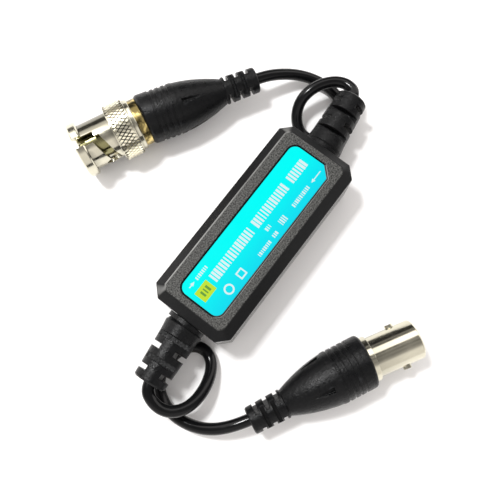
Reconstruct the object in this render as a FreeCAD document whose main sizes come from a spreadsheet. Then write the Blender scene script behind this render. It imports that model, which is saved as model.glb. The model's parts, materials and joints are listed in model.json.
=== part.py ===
import FreeCAD, Part
import math
import os
import re

import Sketcher

# In-line video ground loop isolator: a small moulded box with a short coaxial lead at each end,
# one lead ending in a bayonet plug and the other in a bayonet jack.
# Millimetres. +X runs along the box towards the plug's lead, +Z is up, and the origin is the
# middle of the box's underside. The box, the plug's collar and the jack's boot lie on the table.

SIZES = [
    # the box
    ("box_length", 52.5),
    ("box_width", 21.6),
    ("box_height", 15.0),
    ("seam_height", 7.5),
    ("corner_facet", 2.6),
    ("top_bevel", 2.4),
    ("foot_bevel", 0.6),
    ("side_wall", 1.7),
    ("end_wall", 2.0),
    ("roof", 1.7),
    ("base_floor", 1.6),
    ("seam_groove", 0.25),
    ("tongue_width", 0.7),
    ("tongue_height", 1.1),
    ("fit", 0.1),
    # the printed overlay in its recess
    ("label_length", 43.5),
    ("label_width", 11.3),
    ("label_round", 2.0),
    ("label_cut", 2.4),
    ("label_shift", 0.3),
    ("label_thick", 0.3),
    ("label_recess", 0.35),
    ("label_gap", 0.25),
    # the board and what is soldered to it
    ("board_end_room", 6.75),
    ("board_side_room", 2.8),
    ("board_thick", 1.2),
    ("board_height", 4.6),
    ("post_width", 2.6),
    ("post_inset", 1.6),
    ("core_outer", 12.0),
    ("core_inner", 6.6),
    ("core_head_room", 1.4),
    ("core_gap", 0.15),
    ("wire_layer", 0.7),
    ("winding_angle", 132.0),
    ("capacitor_across", 4.0),
    ("capacitor_height", 5.0),
    ("capacitor_place", 11.8),
    ("capacitor_edge", 0.2),
    ("chip_length", 2.0),
    ("chip_width", 1.25),
    ("chip_height", 0.55),
    ("chip_spacing", 3.4),
    ("solder_wire", 0.9),
    ("solder_wire_apart", 1.2),
    ("wire_pad_side", 2.4),
    ("wire_pad_reach", 2.6),
    # the flexible strain relief at each end of the box
    ("relief_length", 16.4),
    ("relief_root", 9.6),
    ("relief_waist", 9.0),
    ("relief_tip", 8.0),
    ("relief_plain", 4.6),
    ("relief_collar", 1.2),
    ("relief_shoulder", 9.6),
    ("relief_shoulder_place", 1.9),
    ("relief_neck", 6.4),
    ("relief_flange", 9.4),
    ("relief_flange_thick", 1.6),
    ("relief_slot", 1.25),
    ("relief_pitch", 2.85),
    ("relief_web", 3.7),
    ("relief_edge", 0.4),
    ("relief_lift", 3.0),
    ("relief_bore_gap", 0.15),
    ("plug_relief_bend", 6.0),
    ("jack_relief_bend", -5.5),
    ("clamp_rib", 1.2),
    ("weld", 0.2),
    # the coaxial cable
    ("cable_across", 2.9),
    ("cable_clearance", 0.06),
    ("cable_inner", 1.7),
    ("cable_straight", 3.2),
    ("wire_gap", 0.2),
    # the boot moulded on each connector
    ("boot_across", 12.9),
    ("boot_length", 21.5),
    ("boot_band", 3.2),
    ("boot_shoulder", 9.2),
    ("boot_shoulder_across", 12.6),
    ("boot_neck", 6.4),
    ("boot_bulge", 40.0),
    ("boot_rings", 4),
    ("ring_pitch", 1.45),
    ("ring_groove", 0.6),
    ("ring_depth", 0.22),
    ("boot_front_round", 0.9),
    ("boot_overlap", 0.8),
    ("boot_edge", 0.3),
    ("boot_wedges", 4),
    ("wedge_start", 10.4),
    ("wedge_length", 5.3),
    ("wedge_width", 1.45),
    ("wedge_depth", 1.0),
    ("wedge_point", 0.3),
    ("boot_tail_length", 9.0),
    ("boot_tail_front", 7.0),
    ("boot_tail_end", 6.5),
    ("tail_slot", 0.97),
    ("tail_pitch", 1.35),
    ("tail_start", 0.8),
    ("tail_web", 3.6),
    # the bayonet plug, along its axis from the boot's front
    ("nut_length", 16.0),
    ("neck_show", 1.9),
    ("rim_across", 14.1),
    ("rim_length", 2.4),
    ("waist_across", 11.7),
    ("waist_length", 7.4),
    ("knurl_across", 14.4),
    ("knurl_length", 5.1),
    ("rear_wall", 0.4),
    ("nut_bore", 9.8),
    ("nut_edge", 0.35),
    ("flange_front", 14.0),
    ("flange_thick", 1.0),
    ("flange_bore", 8.3),
    ("neck_across", 12.0),
    ("neck_gap", 0.2),
    ("track_width", 2.5),
    ("track_entry", 5.3),
    ("ramp_start", 4.0),
    ("ramp_rise", 2.8),
    ("ramp_pitch", 11.6),
    ("detent_across", 2.7),
    ("detent_place", 6.5),
    ("lug_across", 2.0),
    ("contact_across", 8.0),
    ("spindle_across", 8.2),
    ("spindle_front", 11.0),
    ("snap_place", 11.7),
    ("snap_thick", 0.8),
    ("snap_across", 9.5),
    ("snap_depth", 0.4),
    ("snap_mouth", 2.2),
    ("snap_seat", 0.02),
    ("washer_thick", 0.3),
    ("wave_thick", 0.25),
    ("wave_count", 3),
    ("axial_play", 0.03),
    ("sleeve_front", 0.9),
    ("sleeve_bore", 6.8),
    ("sleeve_slot", 0.5),
    ("sleeve_slot_length", 6.6),
    ("sleeve_slots", 6),
    ("sleeve_spigot", 7.0),
    ("sleeve_lining", 0.8),
    ("sleeve_edge", 0.2),
    ("sleeve_spigot_length", 1.6),
    ("gasket_across", 9.3),
    ("gasket_thick", 0.6),
    ("pin_across", 1.35),
    ("pin_front", 3.6),
    ("pin_shank", 2.0),
    ("pin_point", 0.45),
    ("pin_taper", 0.6),
    ("pin_step", 2.0),
    ("pin_seat", 1.8),
    ("dielectric_front", 8.9),
    ("dielectric_small", 5.0),
    # the rear of both metal bodies, inside the boots
    ("spigot_across", 7.6),
    ("spigot_length", 3.0),
    ("back_wall", 0.8),
    ("crimp_across", 3.9),
    ("crimp_end", 10.0),
    ("crimp_bore", 2.0),
    ("sleeve_wall", 0.5),
    ("sleeve_gap", 0.1),
    # the bayonet jack
    ("barrel_across", 9.65),
    ("barrel_length", 11.6),
    ("jack_bore", 8.15),
    ("jack_bore_depth", 8.6),
    ("jack_flange_across", 10.9),
    ("jack_flange_thick", 1.2),
    ("lug_place", 4.8),
    ("lug_tips", 11.0),
    ("jack_nose_across", 4.8),
    ("jack_nose_set_back", 1.6),
    ("jack_contact_across", 2.2),
    ("jack_contact_bore", 1.4),
    ("jack_contact_slot", 0.3),
    ("jack_contact_set_back", 2.1),
    ("jack_contact_depth", 5.0),
    ("jack_contact_split", 3.5),
    ("jack_web", 1.0),
    ("jack_edge", 0.4),
    # where the two connectors lie
    ("plug_x", 6.63),
    ("plug_y", 40.42),
    ("plug_heading", -25.0),
    ("plug_boot_heading", -31.4),
    ("plug_boot_roll", 15.0),
    ("nut_roll", 8.0),
    ("jack_x", -7.92),
    ("jack_y", -38.6),
    ("jack_heading", 150.5),
    ("jack_boot_heading", 154.0),
    ("jack_boot_roll", -20.0),
]

# The route of each lead's centreline, from inside the box, out through the strain relief, once
# round in a loop that passes under the relief, and into the connector's boot.
PLUG_LEAD = [
    (20.6, 0.0, 7.5),
    (26.6, 0.0, 7.5),
    (32.8, 0.66, 7.82),
    (38.9, 1.33, 8.18),
    (44.4, 1.91, 8.44),
    (45.9, 5.3, 8.1),
    (45.0, 8.4, 7.8),
    (42.5, 10.7, 7.6),
    (39.4, 12.1, 7.2),
    (36.2, 12.5, 6.1),
    (33.4, 11.8, 4.3),
    (31.2, 10.0, 2.5),
    (29.8, 7.2, 1.5),
    (30.4, 3.6, 1.45),
    (33.5, 0.9, 1.45),
    (37.9, 0.5, 1.45),
    (41.9, 2.4, 1.45),
    (44.3, 5.9, 1.45),
    (44.8, 9.9, 1.6),
    (43.9, 13.7, 2.3),
    (42.0, 17.2, 3.6),
    (39.0, 20.2, 5.3),
    (35.5, 22.8, 6.8),
    (31.4, 25.3, 7.2),
    (25.6, 28.95, 7.2),
]
JACK_LEAD = [
    (-20.6, 0.0, 7.5),
    (-26.6, 0.0, 7.5),
    (-32.8, -0.55, 7.8),
    (-38.9, -1.2, 8.2),
    (-44.0, -1.9, 8.42),
    (-45.7, -4.8, 8.1),
    (-45.5, -7.9, 7.8),
    (-43.6, -10.5, 7.5),
    (-40.6, -12.0, 6.6),
    (-36.9, -12.3, 4.8),
    (-33.2, -11.3, 2.9),
    (-30.2, -9.6, 1.6),
    (-28.8, -6.7, 1.45),
    (-30.0, -3.6, 1.45),
    (-33.4, -1.7, 1.45),
    (-37.6, -1.2, 1.45),
    (-41.6, -2.7, 1.45),
    (-44.4, -5.9, 1.5),
    (-45.6, -9.8, 1.9),
    (-45.2, -13.9, 2.8),
    (-43.8, -17.6, 3.9),
    (-41.4, -20.7, 5.2),
    (-38.1, -23.3, 6.15),
    (-33.9, -25.75, 6.45),
    (-27.8, -28.7, 6.45),
]

doc = FreeCAD.newDocument("ground_loop_isolator")
sheet = doc.addObject("Spreadsheet::Sheet", "Sizes")
for row, (alias, number) in enumerate(SIZES, start=1):
    sheet.set(f"A{row}", alias)
    sheet.set(f"B{row}", str(number))
    sheet.setAlias(f"B{row}", alias)
doc.recompute()

# Words in a size's formula that are functions and not sizes
FUNCTIONS = {"sin", "cos", "tan", "sqrt", "min", "max", "floor"}


def full(formula):
    """The formula with each size named as the sheet's own cell."""
    return re.sub(r"[a-z_]+", lambda word: word[0] if word[0] in FUNCTIONS else "Sizes." + word[0], formula)


def size(formula):
    """The number that a formula of the sheet's sizes comes to."""
    return float(sheet.evalExpression(full(formula)))


def new_body(label):
    body = doc.addObject("PartDesign::Body", label)
    body.Label = label
    return body


def origin_part(body, role):
    return next(part for part in body.Origin.OriginFeatures if part.Role == role)


def new_sketch(body, name, plane, height=None):
    """A sketch on one of the body's own planes, or at a height along that plane's normal."""
    sketch = body.newObject("Sketcher::SketchObject", name)
    sketch.AttachmentSupport = (origin_part(body, plane), [""])
    sketch.MapMode = "FlatFace"
    if height is not None:
        sketch.setExpression("AttachmentOffset.Base.z", full(height))
    return sketch


def hold(sketch, kind, element, end, formula):
    """Ties one coordinate of a sketch's point to a formula of the sizes."""
    if formula == "0":
        axis = -2 if kind == "DistanceX" else -1
        sketch.addConstraint(Sketcher.Constraint("PointOnObject", element, end, axis))
        return
    number = sketch.addConstraint(Sketcher.Constraint(kind, -1, 1, element, end, size(formula)))
    sketch.setExpression(f"Constraints[{number}]", full(formula))


def arc_between(start, end, radius):
    """The arc from start to end. A positive radius bulges to the left of the way between them."""
    if radius > 0:
        start, end = end, start
    chord = end - start
    left = FreeCAD.Vector(-chord.y, chord.x, 0).normalize()
    reach = math.sqrt(radius * radius - chord.Length * chord.Length / 4)
    centre = (start + end) * 0.5 + left * reach
    first = math.atan2(start.y - centre.y, start.x - centre.x)
    last = math.atan2(end.y - centre.y, end.x - centre.x)
    if last < first:
        last += 2 * math.pi
    return Part.ArcOfCircle(Part.Circle(centre, FreeCAD.Vector(0, 0, 1), abs(radius)), first, last)


def outline(sketch, corners, arcs=None):
    """A closed outline through corners given as formulas. arcs names the sides that are arcs, each with
    its radius, positive where the arc bulges to the left of the way round."""
    arcs = arcs or {}
    first = sketch.GeometryCount
    places = [FreeCAD.Vector(size(x), size(y), 0) for x, y in corners]
    ends = []
    for side, start in enumerate(places):
        end = places[(side + 1) % len(places)]
        if side in arcs:
            edge = arc_between(start, end, size(arcs[side]))
        else:
            edge = Part.LineSegment(start, end)
        number = sketch.addGeometry(edge)
        forward = (sketch.Geometry[number].StartPoint - start).Length < 1e-6
        ends.append((1, 2) if forward else (2, 1))
    for side in range(len(places)):
        after = (side + 1) % len(places)
        sketch.addConstraint(
            Sketcher.Constraint("Coincident", first + side, ends[side][1], first + after, ends[after][0])
        )
    for side, (x, y) in enumerate(corners):
        hold(sketch, "DistanceX", first + side, ends[side][0], x)
        hold(sketch, "DistanceY", first + side, ends[side][0], y)
    for side, radius in arcs.items():
        number = sketch.addConstraint(Sketcher.Constraint("Radius", first + side, abs(size(radius))))
        sketch.setExpression(f"Constraints[{number}]", full(radius.lstrip("-")))
    return sketch


def circle(sketch, x, y, across):
    number = sketch.addGeometry(
        Part.Circle(FreeCAD.Vector(size(x), size(y), 0), FreeCAD.Vector(0, 0, 1), size(across) / 2)
    )
    if x == "0" and y == "0":
        sketch.addConstraint(Sketcher.Constraint("Coincident", number, 3, -1, 1))
    else:
        hold(sketch, "DistanceX", number, 3, x)
        hold(sketch, "DistanceY", number, 3, y)
    held = sketch.addConstraint(Sketcher.Constraint("Diameter", number, size(across)))
    sketch.setExpression(f"Constraints[{held}]", full(across))
    return sketch


def box_outline(sketch, left, right, low, high):
    return outline(sketch, [(left, low), (right, low), (right, high), (left, high)])


def pad(body, sketch, length, both_ways=False, reversed_way=False):
    feature = body.newObject("PartDesign::Pad", sketch.Name + "_pad")
    feature.Profile = sketch
    feature.setExpression("Length", full(length))
    feature.SideType = "Symmetric" if both_ways else "One side"
    feature.Reversed = reversed_way
    sketch.Visibility = False
    return feature


def pocket(body, sketch, length=None, both_ways=False, reversed_way=False):
    """A pocket of the given depth, or right through where no depth is given."""
    doc.recompute()
    before = body.Shape.Volume
    feature = body.newObject("PartDesign::Pocket", sketch.Name + "_cut")
    feature.Profile = sketch
    if length is None:
        feature.Type = "ThroughAll"
    else:
        feature.setExpression("Length", full(length))
    feature.SideType = "Symmetric" if both_ways else "One side"
    feature.Reversed = reversed_way
    doc.recompute()
    if body.Shape.Volume > before - 1e-4:
        raise RuntimeError(f"{feature.Name} cuts nothing")
    return feature


def revolve(body, sketch):
    feature = body.newObject("PartDesign::Revolution", sketch.Name + "_turn")
    feature.Profile = sketch
    feature.ReferenceAxis = (sketch, ["H_Axis"])
    feature.Angle = 360
    return feature


def groove(body, sketch):
    doc.recompute()
    before = body.Shape.Volume
    feature = body.newObject("PartDesign::Groove", sketch.Name + "_cut")
    feature.Profile = sketch
    feature.ReferenceAxis = (sketch, ["H_Axis"])
    feature.Angle = 360
    doc.recompute()
    if body.Shape.Volume > before - 1e-4:
        raise RuntimeError(f"{feature.Name} cuts nothing")
    return feature


def around(body, features, count):
    """Repeats features evenly about the body's X axis."""
    pattern = body.newObject("PartDesign::PolarPattern", features[0].Name + "_round")
    pattern.Originals = features
    pattern.Axis = (origin_part(body, "X_Axis"), [""])
    pattern.Angle = 360
    pattern.setExpression("Occurrences", full(count))
    body.Tip = pattern
    return pattern


def along(body, features, span, count):
    """Repeats features evenly along the body's X axis, over the whole span."""
    pattern = body.newObject("PartDesign::LinearPattern", features[0].Name + "_row")
    pattern.Originals = features
    pattern.Direction = (origin_part(body, "X_Axis"), [""])
    pattern.setExpression("Length", full(span))
    pattern.setExpression("Occurrences", full(count))
    body.Tip = pattern
    return pattern


def edge_names(shape, wanted):
    """The names of the edges whose middle satisfies the test."""
    names = []
    for number, edge in enumerate(shape.Edges, start=1):
        if wanted(edge, edge.valueAt((edge.FirstParameter + edge.LastParameter) / 2)):
            names.append(f"Edge{number}")
    return names


def chamfer(body, wanted, amount):
    doc.recompute()
    base = body.Tip
    feature = body.newObject("PartDesign::Chamfer", base.Name + "_bevel")
    feature.Base = (base, edge_names(base.Shape, wanted))
    feature.setExpression("Size", full(amount))
    return feature


def turned(label, corners, arcs=None):
    """A body turned about its X axis from an outline of (along, radius) corners."""
    body = new_body(label)
    revolve(body, outline(new_sketch(body, label + "_profile", "XY_Plane"), corners, arcs))
    return body


def frame(place, heading, roll=0.0, lift=0.0):
    """A placement whose X axis points the heading's way, lifted and rolled about itself."""
    turn = FreeCAD.Rotation(FreeCAD.Vector(0, 0, 1), heading)
    turn = turn.multiply(FreeCAD.Rotation(FreeCAD.Vector(0, 1, 0), -lift))
    turn = turn.multiply(FreeCAD.Rotation(FreeCAD.Vector(1, 0, 0), roll))
    return FreeCAD.Placement(FreeCAD.Vector(*place), turn)


def rounded(label, base, wanted, radius):
    """The base with the edges whose middle satisfies the test rounded over."""
    doc.recompute()
    feature = doc.addObject("Part::Fillet", label)
    feature.Base = base
    numbers = [int(name[4:]) for name in edge_names(base.Shape, wanted)]
    feature.Edges = [(number, radius, radius) for number in numbers]
    return feature


def shaped(label, shape):
    feature = doc.addObject("Part::Feature", label)
    feature.Label = label
    feature.Shape = shape
    return feature


def cut(label, base, *tools):
    """The base with each tool taken out of it, one after the other."""
    for number, tool in enumerate(tools):
        last = number == len(tools) - 1
        feature = doc.addObject("Part::Cut", label if last else f"{label}_less_{tool.Name}")
        feature.Base = base
        feature.Tool = tool
        base = feature
    base.Label = label
    return base


def fuse(label, base, tool):
    feature = doc.addObject("Part::Fuse", label)
    feature.Label = label
    feature.Base = base
    feature.Tool = tool
    return feature


def tube_path(points):
    """Straight runs joined by tangent arcs, each as large as its two runs allow, and the arcs' radii."""
    places = [FreeCAD.Vector(*point) for point in points]
    edges = []
    radii = []
    start = places[0]
    for before, corner, after in zip(places, places[1:], places[2:]):
        back = before - corner
        on = after - corner
        half = (math.pi - back.getAngle(on)) / 2
        shorter = min(back.Length, on.Length)
        radius = 0.45 * shorter / math.tan(half)
        reach = 0.45 * shorter
        back.normalize()
        on.normalize()
        arc_start = corner + back * reach
        arc_end = corner + on * reach
        inward = (back + on).normalize()
        arc_middle = corner + inward * (radius / math.cos(half) - radius)
        edges.append(Part.LineSegment(start, arc_start).toShape())
        edges.append(Part.Arc(arc_start, arc_middle, arc_end).toShape())
        radii.append(radius)
        start = arc_end
    edges.append(Part.LineSegment(start, places[-1]).toShape())
    return Part.Wire(edges), radii


def tube(points, across):
    wire, radii = tube_path(points)
    first = wire.Edges[0]
    ring = Part.Circle(first.valueAt(first.FirstParameter), first.tangentAt(first.FirstParameter), across / 2)
    solid = wire.makePipeShell([Part.Wire(ring.toShape())], True, False)
    volume = math.pi * across * across / 4 * wire.Length
    if abs(solid.Volume - volume) > 0.01 * volume:
        raise RuntimeError(f"a tube's volume is {solid.Volume:.2f} and not {volume:.2f}")
    return solid, wire.Length, radii


# Places that several pieces share
BOARD_END = "(box_length / 2 - board_end_room)"
BOARD_SIDE = "(box_width / 2 - board_side_room)"
CORE_HEIGHT = "box_height - roof - core_head_room - board_height - board_thick - 2 * core_gap - 2 * wire_layer"
LID_SEAM = size("seam_height")
MIDDLE = size("box_height / 2")
END = size("box_length / 2")
CABLE = size("cable_across")
BORE = size("cable_across + 2 * cable_clearance")
PLUG_HEIGHT = size("knurl_across / 2")
JACK_HEIGHT = size("boot_across / 2")
PLUG_PLACE = (size("plug_x"), size("plug_y"), PLUG_HEIGHT)
JACK_PLACE = (size("jack_x"), size("jack_y"), JACK_HEIGHT)
PLUG_FRAME = frame(PLUG_PLACE, size("plug_heading"))
JACK_FRAME = frame(JACK_PLACE, size("jack_heading"))
ALL_NODES = []


def keep(piece):
    """Marks an object as one of the sub-parts that are written out."""
    ALL_NODES.append(piece)
    return piece


def faceted_box(sketch, inset_end, inset_side):
    """The box's plan outline, set in from its ends and sides, with 45 degree facets at its corners."""
    x = f"(box_length / 2 - ({inset_end}))"
    y = f"(box_width / 2 - ({inset_side}))"
    cut_back = f"(corner_facet - 0.4142 * (({inset_end}) + ({inset_side})) / 2)"
    return outline(
        sketch,
        [
            (f"-{x} + {cut_back}", f"-{y}"),
            (f"{x} - {cut_back}", f"-{y}"),
            (f"{x}", f"-{y} + {cut_back}"),
            (f"{x}", f"{y} - {cut_back}"),
            (f"{x} - {cut_back}", f"{y}"),
            (f"-{x} + {cut_back}", f"{y}"),
            (f"-{x}", f"{y} - {cut_back}"),
            (f"-{x}", f"-{y} + {cut_back}"),
        ],
    )


def relief_holes(body):
    """The holes through both end walls that the strain reliefs' necks sit in."""
    sketch = new_sketch(body, body.Name + "_necks", "YZ_Plane")
    circle(sketch, "0", "box_height / 2", "relief_neck + 2 * fit")
    pocket(body, sketch, both_ways=True)


def clamp_ribs(body, name, low, high):
    """The ribs across the box that close the slots for the reliefs' flanges."""
    back = "box_length / 2 - end_wall - relief_flange_thick - 2 * fit"
    for side, (near, far) in {
        "plug": (f"{back} - clamp_rib", back),
        "jack": (f"-({back})", f"-({back} - clamp_rib)"),
    }.items():
        sketch = new_sketch(body, f"{name}_{side}_rib", "XY_Plane", low)
        half = "(box_width / 2 - side_wall + weld)"
        box_outline(sketch, near, far, f"-{half}", half)
        pad(body, sketch, f"{high} - ({low})")


def label_corners(gap):
    """The overlay's outline, a gap larger all round: three rounded corners and one cut at 45 degrees."""
    x = f"(label_length / 2 + {gap})"
    high = f"(label_width / 2 + {gap} - label_shift)"
    low = f"(-label_width / 2 - {gap} - label_shift)"
    r = f"(label_round + {gap})"
    c = f"(label_cut + 0.4142 * ({gap}))"
    return [
        (f"-{x} + {r}", low),
        (f"{x} - {c}", low),
        (f"{x}", f"{low} + {c}"),
        (f"{x}", f"{high} - {r}"),
        (f"{x} - {r}", high),
        (f"-{x} + {r}", high),
        (f"-{x}", f"{high} - {r}"),
        (f"-{x}", f"{low} + {r}"),
    ], {3: f"-{r}", 5: f"-{r}", 7: f"-{r}"}


def make_upper_shell():
    body = new_body("upper_shell")
    plan = faceted_box(new_sketch(body, "lid_plan", "XY_Plane", "seam_height"), "0", "0")
    pad(body, plan, "box_height - seam_height")
    top = size("box_height")
    chamfer(body, lambda edge, middle: abs(middle.z - top) < 1e-4, "top_bevel")
    chamfer(body, lambda edge, middle: abs(middle.z - LID_SEAM) < 1e-4, "seam_groove")
    hollow = faceted_box(new_sketch(body, "lid_hollow", "XY_Plane", "seam_height"), "end_wall", "side_wall")
    pocket(body, hollow, "box_height - roof - seam_height", reversed_way=True)
    clamp_ribs(body, "lid", "seam_height", "(box_height - roof + weld)")
    inset = "(end_wall - tongue_width - fit)"
    inset_side = "(side_wall - tongue_width - fit)"
    rebate = new_sketch(body, "lid_rebate", "XY_Plane", "seam_height")
    pocket(body, faceted_box(rebate, inset, inset_side), "tongue_height + fit", reversed_way=True)
    relief_holes(body)
    corners, arcs = label_corners("label_gap")
    recess = outline(new_sketch(body, "label_seat", "XY_Plane", "box_height"), corners, arcs)
    pocket(body, recess, "label_recess")
    return keep(body)


def make_lower_shell():
    body = new_body("lower_shell")
    pad(body, faceted_box(new_sketch(body, "tray_plan", "XY_Plane"), "0", "0"), "seam_height")
    chamfer(body, lambda edge, middle: abs(middle.z) < 1e-4, "foot_bevel")
    chamfer(body, lambda edge, middle: abs(middle.z - LID_SEAM) < 1e-4, "seam_groove")
    tongue = faceted_box(
        new_sketch(body, "tray_tongue", "XY_Plane", "seam_height"),
        "(end_wall - tongue_width)",
        "(side_wall - tongue_width)",
    )
    pad(body, tongue, "tongue_height")
    hollow = faceted_box(new_sketch(body, "tray_hollow", "XY_Plane", "base_floor"), "end_wall", "side_wall")
    pocket(body, hollow, reversed_way=True)
    clamp_ribs(body, "tray", "(base_floor - weld)", "seam_height")
    for name, x_sign, y_sign in (("a", "", ""), ("b", "-", ""), ("c", "", "-"), ("d", "-", "-")):
        sketch = new_sketch(body, "tray_post_" + name, "XY_Plane", "(base_floor - weld)")
        near_x = f"{x_sign}({BOARD_END} - post_inset - post_width)"
        far_x = f"{x_sign}({BOARD_END} - post_inset)"
        near_y = f"{y_sign}(box_width / 2 - side_wall - post_width)"
        far_y = f"{y_sign}(box_width / 2 - side_wall + weld)"
        box_outline(sketch, near_x, far_x, near_y, far_y)
        pad(body, sketch, "board_height - (base_floor - weld)")
    relief_holes(body)
    return keep(body)


def make_label():
    body = new_body("label")
    corners, arcs = label_corners("0")
    sketch = new_sketch(body, "label_outline", "XY_Plane", "box_height - label_recess")
    pad(body, outline(sketch, corners, arcs), "label_thick")
    return keep(body)


def make_board():
    """The circuit board, resting on the four posts in the corners of the tray."""
    body = new_body("circuit_board")
    sketch = new_sketch(body, "board_plan", "XY_Plane", "board_height")
    box_outline(sketch, f"-{BOARD_END}", BOARD_END, f"-{BOARD_SIDE}", BOARD_SIDE)
    pad(body, sketch, "board_thick")
    return keep(body)


def make_core():
    """The ferrite ring that the two windings share, lying on the board."""
    body = new_body("toroid_core")
    sketch = new_sketch(body, "core_plan", "XY_Plane", "board_height + board_thick + wire_layer + core_gap")
    circle(sketch, "0", "0", "core_outer")
    circle(sketch, "0", "0", "core_inner")
    pad(body, sketch, CORE_HEIGHT)
    return keep(body)


def make_winding(label, heading):
    """A layer of wire round one side of the core, resting on the board."""
    inner = size("core_inner / 2 - core_gap - wire_layer")
    outer = size("core_outer / 2 + core_gap + wire_layer")
    low = size("board_height + board_thick")
    high = size("box_height - roof - core_head_room")
    angle = size("winding_angle")
    layer = size("wire_layer")

    def sector(inside, outside, bottom, top):
        up = FreeCAD.Vector(0, 0, 1)
        foot = FreeCAD.Vector(0, 0, bottom)
        ring = Part.makeCylinder(outside, top - bottom, foot, up, angle)
        return ring.cut(Part.makeCylinder(inside, top - bottom, foot))

    room = sector(inner + layer, outer - layer, low + layer, high - layer)
    piece = shaped(label, sector(inner, outer, low, high).cut(room))
    piece.Placement = frame((0, 0, 0), heading - angle / 2)
    return keep(piece)


def make_capacitor(label, side):
    """A small can capacitor standing on the board, with a rolled groove near its foot."""
    body = new_body(label)
    radius = "capacitor_across / 2"
    sketch = outline(
        new_sketch(body, label + "_profile", "XZ_Plane"),
        [
            ("0", "0"),
            (radius, "0"),
            (radius, "capacitor_height * 0.14"),
            (f"{radius} - capacitor_edge", "capacitor_height * 0.2"),
            (radius, "capacitor_height * 0.26"),
            (radius, "capacitor_height - capacitor_edge"),
            (f"{radius} - capacitor_edge", "capacitor_height"),
            ("0", "capacitor_height"),
        ],
    )
    feature = body.newObject("PartDesign::Revolution", sketch.Name + "_turn")
    feature.Profile = sketch
    feature.ReferenceAxis = (sketch, ["V_Axis"])
    feature.Angle = 360
    place = (side * size("capacitor_place"), 0, size("board_height + board_thick"))
    body.Placement = frame(place, 0)
    return keep(body)


def make_chips():
    """Two chip resistors, one each side of the core, as one group."""
    body = new_body("chip_resistors")
    feature = None
    for name, sign in (("left", "-"), ("right", "")):
        sketch = new_sketch(body, "chip_" + name, "XY_Plane", "board_height + board_thick")
        middle = f"{sign}(capacitor_place + chip_spacing)"
        box_outline(
            sketch,
            f"{middle} - chip_width / 2",
            f"{middle} + chip_width / 2",
            "-chip_length / 2",
            "chip_length / 2",
        )
        feature = pad(body, sketch, "chip_height")
    body.AllowCompound = True
    body.Tip = feature
    return keep(body)


def make_solder_wires(name, side, lead_end):
    """The stripped centre wire and the twisted screen, from the lead's end down to the board."""
    level = size("board_height + board_thick")
    reach = size("wire_pad_reach")
    apart = size("solder_wire_apart / 2")
    for label, sign in ((f"{name}_centre_wire", 1), (f"{name}_screen_tail", -1)):
        pad_place = (lead_end - side * 2 * reach, sign * size("wire_pad_side"))
        route = [
            (lead_end, sign * apart, MIDDLE),
            (lead_end - side * reach, sign * apart, MIDDLE),
            (*pad_place, level + size("solder_wire / 2")),
        ]
        solid, _, _ = tube(route, size("solder_wire"))
        keep(shaped(label, solid))


def cable_hole(label, home, start, end):
    """A round hole for the cable along a placement's X axis, between two places on it."""
    hole = doc.addObject("Part::Cylinder", label)
    hole.setExpression("Radius", full("cable_across / 2 + relief_bore_gap"))
    hole.setExpression("Height", full(f"({end}) - ({start})"))
    turn = FreeCAD.Rotation(FreeCAD.Vector(0, 1, 0), 90)
    hole.Placement = home.multiply(FreeCAD.Placement(FreeCAD.Vector(size(start), 0, 0), turn))
    return hole


def make_relief(name, side, bend):
    """The strain relief: a flange held behind the end wall, a plain root, and a tapered tail whose slots
    alternate between up and down and left and right, so that it bends every way."""
    root = turned(
        name + "_relief_root",
        [
            ("-(end_wall + fit + relief_flange_thick)", "0"),
            ("-(end_wall + fit + relief_flange_thick)", "relief_flange / 2"),
            ("-(end_wall + fit)", "relief_flange / 2"),
            ("-(end_wall + fit)", "relief_neck / 2"),
            ("fit", "relief_neck / 2"),
            ("fit", "relief_root / 2"),
            ("relief_collar", "relief_root / 2"),
            ("relief_collar", "0"),
        ],
    )
    heading = 0 if side > 0 else 180
    place = (side * END, 0, MIDDLE)
    root.Placement = frame(place, heading)
    tail = turned(
        name + "_relief_tail",
        [
            ("relief_collar / 2", "0"),
            ("relief_collar / 2", "relief_tip / 2"),
            ("relief_shoulder_place", "relief_shoulder / 2"),
            ("relief_plain", "relief_waist / 2"),
            ("relief_length - relief_edge", "relief_tip / 2"),
            ("relief_length", "relief_tip / 2 - relief_edge"),
            ("relief_length", "0"),
        ],
    )
    for level, plane in enumerate(("XZ_Plane", "XY_Plane", "XZ_Plane", "XY_Plane")):
        sketch = new_sketch(tail, f"{name}_relief_level_{level}", plane)
        near = f"(relief_plain + {level} * relief_pitch)"
        for sign in ("", "-"):
            far = f"{near} + relief_slot"
            box_outline(sketch, near, far, f"{sign}relief_web / 2", f"{sign}relief_root / 2")
        pocket(tail, sketch, both_ways=True)
    tail.Placement = frame(place, heading + bend, 0, size("relief_lift"))
    whole = fuse(f"{name}_relief_solid", root, tail)
    neck_start = "-(end_wall + 2 * relief_flange_thick)"
    neck = cable_hole(f"{name}_relief_neck_hole", root.Placement, neck_start, "relief_collar")
    hole = cable_hole(f"{name}_relief_tail_hole", tail.Placement, "0", "relief_length + relief_collar")
    return keep(cut(f"strain_relief_{name}", whole, neck, hole))


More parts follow.
